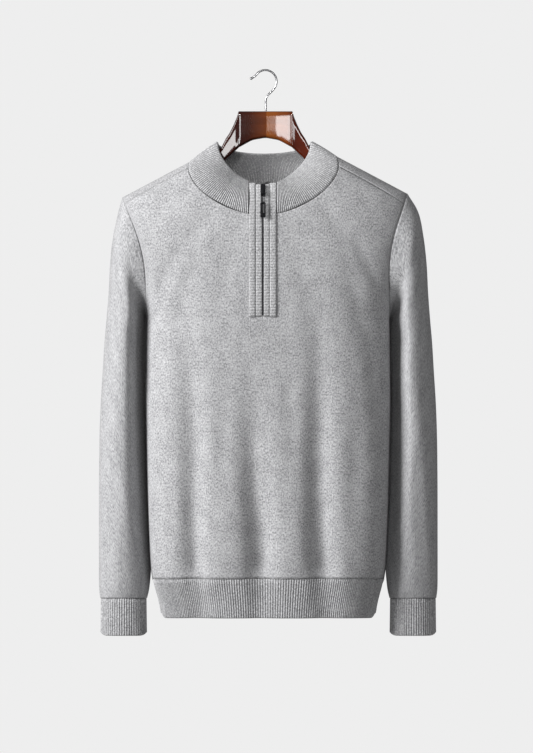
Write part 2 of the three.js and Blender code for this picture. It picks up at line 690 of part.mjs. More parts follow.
// Hanger: half outline of its top edge from the middle outward, then along the shoulder
const hangerTop = [
  { x: 0, z: -60.5 }, { x: 40.5, z: -60.5 }, { x: 43, z: -69 }, { x: 48, z: -81 },
  { x: 54, z: -93 }, { x: 60, z: -102 }, { x: 66, z: -114 }, { x: 76, z: -124.5 }, { x: 94, z: -136 },
];
const hangerEnd = 196;
const hangerUnder = [
  { x: 0, z: -100.5 }, { x: 20, z: -104 }, { x: 40, z: -115 }, { x: 57, z: -131 }, { x: 75, z: -146 },
];
const hangerRest = 3.75;          // the hanger's top lies this far under the cloth's outside
function outlineAt(points, x, beyond) {
  const reach = Math.abs(x);
  const last = points[points.length - 1];
  if (reach >= last.x) return beyond(reach, last);
  let i = 1;
  while (points[i].x < reach) i += 1;
  return mix(points[i - 1].z, points[i].z, (reach - points[i - 1].x) / (points[i].x - points[i - 1].x));
}

function hangerWood() {
  const stations = [-196, -192, -180, -150, -120, -92, -76, -66, -60, -54, -48, -43, -40.5, -20, 0];
  const all = [...stations, ...stations.slice(0, -1).map((x) => -x).reverse()];
  const restZ = (x) => ridgeZ(x - garmentShift) - hangerRest;
  const grid = all.map((x) => {
    const top = outlineAt(hangerTop, x, (reach, last) => {
      const blend = smooth((reach - last.x) / 32);
      return mix(Math.min(last.z - 0.5 * (reach - last.x), restZ(x)), restZ(x), blend);
    });
    const tip = clamp01((hangerEnd - Math.abs(x)) / 14);
    const under = outlineAt(hangerUnder, x, (reach, last) => {
      const tall = mix(42, 26, clamp01((reach - last.x) / 110)) * (0.45 + 0.55 * Math.sqrt(tip));
      return Math.min(top - tall, mix(last.z, top - tall, clamp01((reach - last.x) / 25)));
    });
    const half = mix(9, 7, clamp01(Math.abs(x) / 45)) * (0.6 + 0.4 * tip);
    const round = Math.min(6, (top - under) / 3);
    const section = [
      [0, top], [-half * 0.5, top - round * 0.16], [-half * 0.85, top - round * 0.55], [-half, top - round],
      [-half, under + round], [-half * 0.6, under + round * 0.25], [0, under],
      [half * 0.6, under + round * 0.25], [half, under + round], [half, top - round],
      [half * 0.85, top - round * 0.55], [half * 0.5, top - round * 0.16],
    ];
    return section.map(([y, z]) => new THREE.Vector3(x, y, z));
  });
  return loft(grid);
}

// A closed solid through rings of equally many points, with flat ends
function loft(rings) {
  const positions = rings.flat().flatMap((p) => [p.x, p.y, p.z]);
  const triangles = [];
  const count = rings[0].length;
  for (let i = 0; i < rings.length - 1; i += 1) {
    for (let j = 0; j < count; j += 1) {
      const [a, b] = [i * count + j, i * count + (j + 1) % count];
      triangles.push(a, b, b + count, a, b + count, a + count);
    }
  }
  const end = (rings.length - 1) * count;
  for (let j = 1; j < count - 1; j += 1) {
    triangles.push(0, j + 1, j, end, end + j, end + j + 1);
  }
  return cleanGeometry(positions, triangles);
}

const wireRadius = 1.5;
const crown = { x: -0.3, z: -15.5, radius: 17 };
function hookWire() {
  const arc = (degrees) => new THREE.Vector3(
    crown.x + crown.radius * Math.cos(degrees * Math.PI / 180), 0,
    crown.z + crown.radius * Math.sin(degrees * Math.PI / 180));
  const points = [
    new THREE.Vector3(0.45, 0, -60.1), new THREE.Vector3(0.45, 0, -50), new THREE.Vector3(0.6, 0, -42),
    new THREE.Vector3(3.4, 0, -36.5), new THREE.Vector3(9.5, 0, -30.3),
    ...[-28, -5, 20, 45, 70, 90, 110, 130, 148].map(arc),
    new THREE.Vector3(-18.5, 0, -9.4), new THREE.Vector3(-23.2, 0, -12),
  ];
  const path = new THREE.CatmullRomCurve3(points);
  const circle = new THREE.Shape();
  circle.absarc(0, 0, wireRadius, 0, 2 * Math.PI);
  return new THREE.ExtrudeGeometry(circle, { steps: 30, extrudePath: path, curveSegments: 4 });
}

const group = new THREE.Group();
group.name = 'quarter_zip_sweater';
const looks = {
  knit: { color: 0xb4b4b2, roughness: 0.95, metalness: 0 },
  metal: { color: 0x2c2c2e, roughness: 0.35, metalness: 0.9 },
  wood: { color: 0x6b2a0c, roughness: 0.2, metalness: 0 },
  chrome: { color: 0xd0d0d0, roughness: 0.12, metalness: 1 },
};
function add(name, geometry, look) {
  const mesh = new THREE.Mesh(geometry, new THREE.MeshStandardMaterial(looks[look]));
  mesh.name = name;
  group.add(mesh);
  return mesh;
}

add('front', wallMesh(front, knit, (i, j) => !isSlit(i, j)), 'knit');
add('back', wallMesh(back, knit), 'knit');
for (const face of ['front', 'back']) {
  const rows = [hemTop - seamGap, hemBottom].map((z) => hemRow(z, face));
  add(`hem_rib_${face}`, ribbedWall(rows, 138, ribKnit, false), 'knit');
}
for (const side of ['left', 'right']) {
  add(`sleeve_${side}`, wallMesh(sleeveGrid(side), knit, () => true, true), 'knit');
  const rows = [cuffRow(side, cuffSeamZ - seamGap, 0.96, 26), cuffRow(side, cuffBottom, 0.98, 25)];
  add(`cuff_${side}`, ribbedWall(rows, 58, ribKnit, true), 'knit');
}
add('collar', collarBand(), 'knit');
add('placket_left', zipStrip(-bandHalf + 1.4, -11.2, 0.5, 2.2, zipTop, zipBottom, 22), 'knit');
add('placket_right', zipStrip(10.2, bandHalf - 1.8, 0.5, 2.2, zipTop, zipBottom, 22), 'knit');
add('zip_edge_left', zipStrip(-10.8, -1.9, 0.5, 1.6, zipTop - 2, zipBottom + 1, 22), 'knit');
add('zip_edge_right', zipStrip(1.9, 9.8, 0.5, 1.2, zipTop - 2, zipBottom + 1, 22), 'knit');
add('zip_teeth', zipStrip(-1.6, 1.6, 0.6, 1.2, slider.top - slider.height - 0.6, zipBottom + 3, 14), 'metal');

const sliderSpot = new THREE.Group();
const sliderZ = slider.top - slider.height / 2;
sliderSpot.position.set(zipX, zipLine(sliderZ) - slider.lift, sliderZ);
sliderSpot.rotation.x = -lean;
group.add(sliderSpot);
const sliderMesh = add('zip_slider', sliderBody(), 'metal');
const pullMesh = add('zip_pull', pullTab(), 'metal');
pullMesh.position.set(0, hinge.y, hinge.z);
sliderSpot.add(sliderMesh, pullMesh);

add('hanger_wood', hangerWood(), 'wood');
add('hanger_hook', hookWire(), 'chrome');

export default group;
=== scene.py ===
# %% [markdown]
# # A quarter zip sweater on a wooden hanger
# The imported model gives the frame: every solid's place and size. This script dresses it. Each knitted
# piece becomes a thin shell on the form of its solid, worked out again here as arrays of points, with the
# folds, ribs and edges finer than the solids hold them.

# %% Frame
import json
import math

import bpy
import numpy as np
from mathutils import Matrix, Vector

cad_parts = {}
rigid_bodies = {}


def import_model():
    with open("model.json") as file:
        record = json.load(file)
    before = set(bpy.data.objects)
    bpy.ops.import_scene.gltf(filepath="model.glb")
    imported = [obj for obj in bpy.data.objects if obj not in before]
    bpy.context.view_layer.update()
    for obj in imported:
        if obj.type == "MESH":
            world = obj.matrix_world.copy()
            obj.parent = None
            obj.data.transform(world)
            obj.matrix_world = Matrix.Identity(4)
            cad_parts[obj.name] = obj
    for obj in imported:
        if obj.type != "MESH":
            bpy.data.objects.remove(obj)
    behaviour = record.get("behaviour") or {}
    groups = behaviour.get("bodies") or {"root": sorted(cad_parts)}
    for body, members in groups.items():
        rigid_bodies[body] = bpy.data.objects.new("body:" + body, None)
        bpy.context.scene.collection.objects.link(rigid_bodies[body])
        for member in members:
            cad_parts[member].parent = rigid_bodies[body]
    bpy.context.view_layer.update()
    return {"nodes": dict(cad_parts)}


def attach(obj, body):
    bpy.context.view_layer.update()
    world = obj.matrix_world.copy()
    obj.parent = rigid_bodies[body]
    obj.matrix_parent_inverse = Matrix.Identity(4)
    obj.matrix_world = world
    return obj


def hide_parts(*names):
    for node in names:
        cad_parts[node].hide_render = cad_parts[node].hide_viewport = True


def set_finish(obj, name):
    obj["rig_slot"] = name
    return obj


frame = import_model()
MM = 0.001
print("frame loaded, nodes:", len(frame["nodes"]))

# %% [markdown]
# ## Camera
# The photograph is taken level and from far away, so that upright lines stay upright. The lens is worked
# out from the height of cloth that the picture takes in, and the distance.

# %% Camera
PIXEL = 1.5                       # millimetres of the garment to a pixel of the picture
PICTURE = (533, 753)
HOOK_PIXEL = (265.5, 70)          # where the origin lies in the picture
CAMERA_BACK = 20000.0
CLOTH_FRONT = 70.0                # how far the cloth stands before the origin
SENSOR = 36.0

camera_data = bpy.data.cameras.new("camera")
camera_data.sensor_fit = "VERTICAL"
camera_data.sensor_height = SENSOR
camera_data.lens = SENSOR * (CAMERA_BACK - CLOTH_FRONT) / (PICTURE[1] * PIXEL)
camera_data.clip_end = 100
camera = bpy.data.objects.new("camera", camera_data)
camera.location = (
    (PICTURE[0] / 2 - HOOK_PIXEL[0]) * PIXEL * MM,
    -CAMERA_BACK * MM,
    (HOOK_PIXEL[1] - PICTURE[1] / 2) * PIXEL * MM,
)
camera.rotation_euler = (math.pi / 2, 0, 0)
bpy.context.collection.objects.link(camera)
bpy.context.scene.camera = camera
print("lens", round(camera_data.lens, 1), "mm")

# %% [markdown]
# ## The cut of the body
# The body is a tube of level ovals. A table gives each oval's half width, its half depth in front and
# behind, and how square it is. Above the underarm the ovals are carried past the armhole, so that the
# sleeve can go on from the same curve.

# %% Sizes and tables
SHIFT = 4.2
NECK_CENTRE = -8.0
HEM_TOP, HEM_BOTTOM = -764.0, -822.8
UNDERARM_X, UNDERARM_Z = 184.0, -368.0
ARMHOLE_TOP = {1: 209.0, -1: 219.0}
ARMHOLE_DEPTH = 52.0
SCOOP_FRONT, SCOOP_BACK = 13.0, 5.0
RIDGE_X, RIDGE_Z, RIDGE_SLOPE = 124.0, -139.5, 0.53
DROP = {1: 13.0, -1: 8.0}
NECK_HALF = 116.0
NECK_FRONT_Z = -218.0
NECK_BACK_TAU = -9.6
SLIT_HALF = 3.5
KNIT, RIB_KNIT, COLLAR_KNIT = 2.5, 3.0, 4.4
SEAM_GAP, HALVES_GAP = 0.35, 0.15
ZIP_X = SHIFT + NECK_CENTRE
ZIP_TOP, ZIP_BOTTOM = -169.5, -370.5
CUFF_TOP, CUFF_BOTTOM = -793.2, -849.8
NECK_SHARE = NECK_HALF / ARMHOLE_TOP[1]

# height, half width, half depth in front, half depth behind, power
SECTIONS = np.array([
    (-90, 40, 36, 34, 2.0), (-140, 125, 49, 46, 2.0), (-185, 205, 66, 60, 2.1),
    (-218, 184, 74, 66, 2.4), (-260, 184, 79, 71, 2.7), (-320, 184, 82, 75, 2.9),
    (-368, 184, 83, 77, 3.0), (-500, 185.6, 82, 77, 3.1), (-650, 182, 80, 75, 3.1),
    (-730, 178.5, 78, 73, 3.1), (-764, 175.5, 74, 69, 3.0), (-790, 167.5, 71.5, 66.5, 2.9),
    (-823, 160, 68, 63, 2.8),
])[::-1]
COLUMN = {"width": 1, "front": 2, "back": 3, "power": 4}


def table_at(column, z):
    """The named column at height z: the mean of the straight lines between rows at five nearby heights."""
    values = SECTIONS[:, COLUMN[column]]
    return sum(np.interp(z + step, SECTIONS[:, 0], values) for step in (-16, -8, 0, 8, 16)) / 5


def smooth(t):
    """A soft step from 0 to 1: t squared times three minus two t."""
    t = np.clip(t, 0, 1)
    return t * t * (3 - 2 * t)


def unit(vectors):
    """The same directions with a length of one."""
    return vectors / np.linalg.norm(vectors, axis=-1, keepdims=True)


def ridge_z(x):
    """Height of the shoulder line over x: it falls evenly from the neck to the sleeve."""
    return RIDGE_Z - RIDGE_SLOPE * (np.abs(x) - RIDGE_X)


def by_side(x, table):
    """The right or left value of a table for each x."""
    return np.where(x < 0, table[-1], table[1])


def armhole(angle, side_x):
    """The armhole oval: height by a cosine and depth by a sine of the angle, leaning out to the
    shoulder and scooped inward by the cube of the depth."""
    top_x = by_side(side_x, ARMHOLE_TOP)
    half = (ridge_z(top_x) - UNDERARM_Z) / 2
    z = UNDERARM_Z + half * (1 - np.cos(angle))
    depth = np.sin(angle)
    scoop = np.where(depth > 0, SCOOP_FRONT, SCOOP_BACK)
    lean = UNDERARM_X + (top_x - UNDERARM_X) * (z - UNDERARM_Z) / (2 * half)
    return lean - scoop * np.abs(depth) ** 3, -ARMHOLE_DEPTH * depth, z


def section_width(z, side_x, face):
    """Half width of the level oval. Beside the armhole it is the width that makes the oval pass through
    the armhole's edge; over the shoulder it ends on the ridge."""
    top_x = by_side(side_x, ARMHOLE_TOP)
    top_z = ridge_z(top_x)
    half = (top_z - UNDERARM_Z) / 2
    angle = np.arccos(np.clip(1 - (z - UNDERARM_Z) / half, -1, 1))
    edge_x, edge_y, _ = armhole(angle if face == "front" else -angle, side_x)
    power = table_at("power", z)
    share = 1 - (np.abs(edge_y) / table_at(face, z)) ** power
    beside = edge_x / np.maximum(share, 0.05) ** (1 / power)
    over = RIDGE_X + (RIDGE_Z - z) / RIDGE_SLOPE
    return np.where(z <= UNDERARM_Z, table_at("width", z), np.where(z >= top_z, over, beside))


def body_surface(x, z, face):
    """Point and outward direction where the oval at height z crosses x: depth is the half depth times
    one minus the share of the width, each to the oval's power; the direction is the oval's gradient."""
    sign = -1 if face == "front" else 1
    power = table_at("power", z)
    width = section_width(z, x, face)
    depth = table_at(face, z)
    y = sign * depth * np.maximum(0, 1 - (np.abs(x) / width) ** power) ** (1 / power)

    def value(height):
        return ((np.abs(x) / section_width(height, x, face)) ** power
                + (np.abs(y) / table_at(face, height)) ** power)

    step = 2.5
    gradient = np.stack([
        np.sign(x) * power * np.abs(x) ** (power - 1) / width ** power,
        sign * power * np.abs(y) ** (power - 1) / depth ** power,
        (value(z + step) - value(z - step)) / (2 * step),
    ], axis=-1)
    return np.stack([x + SHIFT, y, z], axis=-1), unit(gradient)


# %% [markdown]
# ## Folds
# Hung cloth that is wider than what carries it falls in long soft folds. Each is a rounded valley with
# its own place at the chest and at the hem. It starts as nothing and deepens on the way down, and the
# tighter hem rib draws it nearly flat again.

# %% Folds
# place at the chest, place at the hem, depth, half width, height where it starts
FOLDS = {
    "front": [(-122, -108, 15, 19, -250), (-24, -13, 17, 21, -400), (72, 82, 16, 20, -260)],
    "back": [(-96, -112, 13, 22, -300), (-10, -22, 15, 24, -280), (88, 74, 14, 21, -320)],
}
# small creases: x, z, length along, width across, tilt in degrees, depth
CREASES = {
    "front": [
        (-150, -300, 90, 12, 24, 2.2), (-128, -345, 110, 14, 16, 1.8), (150, -292, 80, 11, -26, 2.4),
        (133, -350, 120, 15, -14, 2.0), (-60, -290, 90, 16, 12, 1.2), (52, -300, 100, 17, -10, 1.3),
        (-165, -430, 120, 12, 6, 2.0), (160, -470, 150, 12, -5, 2.2), (-70, -560, 150, 14, 3, 1.6),
        (34, -520, 140, 13, -3, 1.8), (130, -600, 130, 13, 2, 1.8), (-150, -640, 120, 12, -3, 1.6),
        (96, -220, 70, 12, -42, 1.6), (-96, -228, 70, 12, 40, 1.5),
    ],
    "back": [
        (-140, -300, 100, 13, 20, 2.2), (138, -310, 90, 13, -22, 2.2), (-60, -420, 130, 15, 5, 1.8),
        (58, -450, 140, 14, -5, 1.8), (0, -240, 60, 20, 0, 1.2), (150, -560, 130, 12, -3, 1.8),
        (-155, -600, 130, 12, 3, 1.8),
    ],
}
FOLD_SHARE = {"front": 1.1, "back": 0.8}


def fold_depth(x, z, face):
    """Sum of the valleys: each is its depth, times a soft step down the body, times a bell across it."""
    total = np.zeros(np.broadcast(x, z).shape)
    for chest, hem, depth, spread, start in FOLDS[face]:
        down = np.clip((start - z) / (start - HEM_TOP), 0, 1)
        middle = chest + (hem - chest) * np.clip((-400 - z) / (-400 - HEM_TOP), 0, 1)
        middle = middle + 2.5 * np.sin(z / 61 + chest)
        rib = 1 - 0.6 * smooth((HEM_TOP + 24 - z) / 40)
        total = total - depth * smooth(down) * rib * np.exp(-((x - middle) / spread) ** 2)
    total = total * FOLD_SHARE[face]
    for cx, cz, length, across, tilt, depth in CREASES[face]:
        turn = math.radians(tilt)
        along = (z - cz) * math.cos(turn) + (x - cx) * math.sin(turn)
        aside = (x - cx) * math.cos(turn) - (z - cz) * math.sin(turn)
        above_rib = smooth((z - HEM_TOP) / 30)
        total = total - above_rib * depth * np.exp(-(along / length * 1.6) ** 2 - (aside / across) ** 2)
    return total


def panel(x, z, face, gap=0.0):
    """A point of a panel with its folds, and the panel's outward direction there."""
    point, normal = body_surface(x, z, face)
    point = point + normal * fold_depth(x, z, face)[..., None]
    point[..., 1] += gap
    return point, normal


# %% [markdown]
# ## Making a shell
# Every knitted piece is built the same way: a grid of outer points, the same grid moved inward by the
# cloth's thickness, and a rim round each open edge. A second grid gives each corner its place on the
# flat cloth, so that the knit's stitches follow the piece.

# %% Shell builder
def new_mesh(name, points, faces, flat=None, smooth_faces=True, crest=None):
    """A mesh object from points in millimetres and quads; flat gives each point's place on the cloth,
    and crest says how near it is to the top of a rib, kept as the first coordinate of a second layer; the
    knit shader paints shade into the grooves by it."""
    mesh = bpy.data.meshes.new(name)
    mesh.from_pydata((np.asarray(points) * MM).tolist(), [], [list(f) for f in faces])
    if flat is not None:
        loops = np.empty(len(mesh.loops), dtype=np.int32)
        mesh.loops.foreach_get("vertex_index", loops)
        layer = mesh.uv_layers.new(name="cloth")
        layer.data.foreach_set("uv", (np.asarray(flat)[loops] * MM).astype(np.float32).ravel())
        height = np.ones(len(loops)) if crest is None else np.asarray(crest)[loops]
        layer = mesh.uv_layers.new(name="crest")
        layer.data.foreach_set("uv", np.stack([height, 0 * height], axis=-1).astype(np.float32).ravel())
    mesh.validate()
    mesh.shade_smooth() if smooth_faces else mesh.shade_flat()
    thing = bpy.data.objects.new(name, mesh)
    bpy.context.collection.objects.link(thing)
    return thing


def grid_lengths(points):
    """Running length along the rows and along the columns of a grid, as cloth coordinates."""
    across = np.linalg.norm(np.diff(points, axis=1), axis=2)
    middle_row = across[across.shape[0] // 2]
    u = np.concatenate([[0], np.cumsum(middle_row)])
    along = np.linalg.norm(np.diff(points, axis=0), axis=2)
    v = np.vstack([np.zeros(points.shape[1]), np.cumsum(along, axis=0)])
    return np.stack([np.broadcast_to(u, v.shape), v], axis=-1)


def signed_volume(points, faces):
    """Six times the volume that quads enclose, above zero where they face outward."""
    p = points[faces]
    return np.einsum("ij,ij->", p[:, 0], np.cross(p[:, 1], p[:, 2]) + np.cross(p[:, 2], p[:, 3]))


def shell(name, outer, normal, thickness, keep=None, closed=False, crest=None):
    """Two layers of a grid joined by rims. thickness may change from point to point."""
    rows, columns = outer.shape[:2]
    thick = np.broadcast_to(np.asarray(thickness, dtype=float), (rows, columns))[..., None]
    inner = outer - normal * thick
    points = np.concatenate([outer.reshape(-1, 3), inner.reshape(-1, 3)])
    span = columns if closed else columns - 1
    kept = np.ones((rows - 1, span), dtype=bool) if keep is None else keep
    i, j = np.nonzero(kept)
    k = (j + 1) % columns
    layer = rows * columns

    def quad(a, b, c, d):
        return np.stack([a, b, c, d], axis=1)

    a, b, c, d = i * columns + j, i * columns + k, (i + 1) * columns + k, (i + 1) * columns + j
    faces = [quad(a, b, c, d), quad(a + layer, d + layer, c + layer, b + layer)]
    padded = np.zeros((rows + 1, span + 2), dtype=bool)
    padded[1:rows, 1:span + 1] = kept
    if closed:
        padded[1:rows, 0], padded[1:rows, -1] = kept[:, -1], kept[:, 0]
    for first, second, di, dj in ((a, b, -1, 0), (b, c, 0, 1), (c, d, 1, 0), (d, a, 0, -1)):
        open_edge = ~padded[i + 1 + di, j + 1 + dj]
        s, t = first[open_edge], second[open_edge]
        faces.append(quad(s, s + layer, t + layer, t))
    faces = np.concatenate(faces)
    cloth = np.concatenate([grid_lengths(outer).reshape(-1, 2)] * 2)
    used = np.unique(faces)
    back = np.full(len(points), -1)
    back[used] = np.arange(len(used))
    points, faces, cloth = points[used], back[faces], cloth[used]
    if crest is not None:
        crest = np.concatenate([np.broadcast_to(crest, (rows, columns)).ravel()] * 2)[used]
    if signed_volume(points, faces) < 0:
        faces = faces[:, ::-1]
    return new_mesh(name, points, faces, cloth, crest=crest)


def grid_normals(points, closed=False):
    """Directions across a grid from the neighbours on both sides."""
    if closed:
        du = np.roll(points, -1, axis=1) - np.roll(points, 1, axis=1)
    else:
        du = np.gradient(points, axis=1)
    dv = np.gradient(points, axis=0)
    return unit(np.cross(du, dv))


def flat_size(outer):
    """Width, length and area of a grid of cloth pressed flat, in metres."""
    du = np.linalg.norm(np.diff(outer, axis=1), axis=2).sum(axis=1).max() * MM
    dv = np.linalg.norm(np.diff(outer, axis=0), axis=2).sum(axis=0).max() * MM
    a, b = outer[1:, 1:] - outer[:-1, :-1], outer[1:, :-1] - outer[:-1, 1:]
    area = 0.5 * np.linalg.norm(np.cross(a, b), axis=2).sum() * MM * MM
    return du, dv, min(area, du * dv)


def hang(thing, outer, node, slot):
    """Rides a knitted piece on the garment in place of its hidden solid, gives it its finish slot and prints
    its cut.
    """
    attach(thing, "garment")
    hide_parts(node)
    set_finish(thing, slot)
    width, length, area = flat_size(outer)
    width, length = max(0.01, round(width, 3)), round(length, 3)
    print(node, "cut", width, "x", length, "m")


# %% [markdown]
# ## Front and back
# Both panels share their columns: even turns round the neck hole and even steps along the shoulder. The
# front ends at the forward shoulder seam; the back runs over the ridge to meet it. A square root of the
# depth under the ridge makes even steps over that sharp bend.

# %% Front panel
LOWER_ROWS, UPPER_ROWS = 90, 70
turns = np.radians(np.concatenate([[2.0], np.linspace(5, 84, 42), [90]]))
half_columns = np.concatenate([
    [SLIT_HALF / ARMHOLE_TOP[1]], NECK_SHARE * np.sin(turns[1:]),
    NECK_SHARE + (1 - NECK_SHARE) * np.linspace(0, 1, 30)[1:],
])
SHARES = np.concatenate([-half_columns[::-1], half_columns])
SIDES = np.sign(SHARES)
ACROSS = np.abs(SHARES)
MIDDLE = len(half_columns) - 1
NECK = ACROSS <= NECK_SHARE + 1e-9


def column_x(edge_x, right_edge):
    """Where each column stands in a row: in proportion near the neck, then evenly out to the edge,
    with the neck's own centre a little to the left."""
    neck_x = NECK_SHARE * right_edge
    out = neck_x + (edge_x - neck_x) * (ACROSS - NECK_SHARE) / (1 - NECK_SHARE)
    return SIDES * np.where(NECK, ACROSS * right_edge, out) + NECK_CENTRE * (1 - ACROSS ** 4)


def corner_angle(side_x):
    """The armhole angle of the forward shoulder corner."""
    top_z = ridge_z(by_side(side_x, ARMHOLE_TOP))
    half = (top_z - UNDERARM_Z) / 2
    return np.arccos(1 - (top_z - by_side(side_x, DROP) - 2 - UNDERARM_Z) / half)


CORNER = corner_angle(SIDES)
corner_x, _, corner_z = armhole(CORNER, SIDES)
right_corner_x = float(armhole(corner_angle(np.ones(1)), np.ones(1))[0][0])
seam_x = column_x(corner_x, right_corner_x)
seam_share = np.clip((ACROSS - NECK_SHARE) / (1 - NECK_SHARE), 0, 1)
seam_drop = by_side(SIDES, DROP) * (1 - seam_share ** 3) + (ridge_z(corner_x) - corner_z) * seam_share ** 3
seam_z = ridge_z(seam_x) - seam_drop
neck_index = {side: int(np.nonzero(NECK & (SIDES == side))[0][0 if side < 0 else -1]) for side in (-1, 1)}
neck_point_z = np.where(SIDES < 0, seam_z[neck_index[-1]], seam_z[neck_index[1]])
bowl = np.maximum(0, 1 - np.minimum(1, ACROSS / NECK_SHARE) ** 1.7) ** (1 / 1.7)
front_top = np.where(NECK, neck_point_z - (neck_point_z - NECK_FRONT_Z) * bowl, seam_z)


def lower_rows(face, gap):
    """Level rows from the hem rib's seam up to the underarm."""
    z = np.linspace(HEM_TOP, UNDERARM_Z, LOWER_ROWS, endpoint=False)[:, None]
    edge = section_width(z, np.ones_like(z), face)
    return panel(column_x(edge, edge), z * np.ones_like(SHARES), face, gap)


low, low_normal = lower_rows("front", -HALVES_GAP)
w = np.linspace(0, 1, UPPER_ROWS)[:, None]
edge_x, edge_y, edge_z = armhole(w * CORNER, SIDES + 0 * w)
right_edge = UNDERARM_X + (right_corner_x - UNDERARM_X) * smooth(w / 0.6)
edge_rise = (edge_z - UNDERARM_Z) / (corner_z - UNDERARM_Z)
rise = w + (edge_rise - w) * ACROSS ** 5
high_z = UNDERARM_Z + (front_top - SEAM_GAP - UNDERARM_Z) * rise
high, high_normal = panel(column_x(edge_x, right_edge), high_z, "front")
front_grid = np.concatenate([low, high])
front_normal = np.concatenate([low_normal, high_normal])
keep = np.ones((front_grid.shape[0] - 1, front_grid.shape[1] - 1), dtype=bool)
keep[LOWER_ROWS:, MIDDLE] = False
front = shell("front_knit", front_grid, front_normal, KNIT, keep)
hang(front, front_grid, "front", "plain_knit")

# %% Back panel
low, low_normal = lower_rows("back", HALVES_GAP)
turn = -w * (2 * np.pi - CORNER)
turn = np.where(turn < -np.pi, turn + 2 * np.pi, turn)
edge_x, edge_y, edge_z = armhole(turn, SIDES + 0 * w)
x = column_x(edge_x, right_edge)
neck_point_x = np.where(SIDES < 0, seam_x[neck_index[-1]], seam_x[neck_index[1]])
front_tau = np.sqrt(np.where(NECK, ridge_z(neck_point_x) - neck_point_z, ridge_z(seam_x) - seam_z))
hole = np.sqrt(1 - np.minimum(1, ACROSS / NECK_SHARE) ** 2)
end_tau = front_tau - (front_tau - NECK_BACK_TAU) * hole
start_tau = -np.sqrt(ridge_z(x) - UNDERARM_Z)
edge_tau = np.where(turn > 0, 1, -1) * np.sqrt(np.maximum(0, ridge_z(edge_x) - edge_z))
edge_start = -np.sqrt(ridge_z(UNDERARM_X) - UNDERARM_Z)
edge_end = np.sqrt(ridge_z(corner_x) - corner_z)
edge_rise = (edge_tau - edge_start) / (edge_end - edge_start)
rise = w + (edge_rise - w) * ACROSS ** 5
tau = start_tau + (end_tau - start_tau) * rise
z = ridge_z(x) - tau ** 2
behind, behind_normal = panel(x, z, "back")
before, before_normal = panel(x, z, "front")
is_front = (tau > 0)[..., None]
back_grid = np.concatenate([low, np.where(is_front, before, behind)])
back_normal = np.concatenate([low_normal, np.where(is_front, before_normal, behind_normal)])
back = shell("back_knit", back_grid, back_normal, KNIT)
hang(back, back_grid, "back", "plain_knit")

# %% [markdown]
# ## Sleeves
# A sleeve is a tube through rings. The first ring is the armhole itself; the others swing round the
# underarm until they lie level, and narrow to the cuff. A smooth curve through each ring's matching
# points makes the tube, and a few soft creases are pressed in. Under the arm the inner edge lies
# behind the body's side, as the hung cloth does.

# %% Sleeves
# inner x, inner z, outer x, outer z, half depth in front, half depth behind, how far back, inner tuck
RINGS = [
    (184.1, -369.5, 226.0, -213, 56, 55, 1, 12), (183.8, -372.0, 233.8, -250, 59, 59, 3, 20),
    (183.4, -376.0, 238.5, -291, 62, 63, 5, 28), (183.2, -383.0, 240.8, -332, 64, 66, 7, 34),
    (183.2, -393.0, 243.6, -372, 66, 68, 9, 38), (182.8, -415.0, 246.8, -409, 66, 69, 10, 42),
    (182.4, -452.0, 249.4, -452, 65, 68, 11, 42), (181.8, -500.0, 252.4, -500, 62, 66, 11, 42),
    (180.8, -550.0, 254.2, -550, 58, 62, 10, 39), (179.6, -600.0, 254.8, -600, 53, 56, 9, 35),
    (178.2, -650.0, 255.0, -650, 47, 49, 8, 30), (176.4, -700.0, 255.0, -700, 41, 42, 7, 24),
    (176.4, -745.0, 255.0, -745, 35, 35, 6, 15), (179.0, -777.0, 254.8, -777, 31, 31, 6, 6),
    (182.4, -793.2, 253.0, -793.2, 27, 27, 6, 0),
]
# share of the way down, turn in degrees, length, width in degrees, slant, depth
SLEEVE_CREASES = [
    (0.30, 100, 0.07, 26, 1.6, 2.4), (0.37, 60, 0.06, 24, -1.4, 1.8), (0.52, 120, 0.09, 22, 1.2, 2.2),
    (0.60, 75, 0.10, 18, -1.0, 1.8), (0.74, 105, 0.12, 16, 0.6, 1.9), (0.86, 70, 0.07, 18, -0.8, 1.8),
    (0.93, 120, 0.05, 20, 0.5, 1.6), (0.45, 250, 0.10, 22, 1.0, 2.2), (0.68, 280, 0.10, 18, -0.8, 2.0),
    (0.22, 145, 0.06, 18, 2.0, 1.8), (0.13, 62, 0.10, 26, -0.5, 4.0),
]


def through(points, steps):
    """A Catmull-Rom curve through rows of points: each stretch is a cubic in the four nearest rows."""
    padded = np.concatenate([2 * points[:1] - points[1:2], points, 2 * points[-1:] - points[-2:-1]])
    t = np.linspace(0, 1, steps, endpoint=False)[:, None, None]
    rows = []
    for i in range(len(points) - 1):
        a, b, c, d = padded[i:i + 4]
        rows.append(0.5 * (2 * b + (c - a) * t + (2 * a - 5 * b + 4 * c - d) * t ** 2
                           + (3 * b - a - 3 * c + d) * t ** 3))
    return np.concatenate(rows + [points[-1:]])


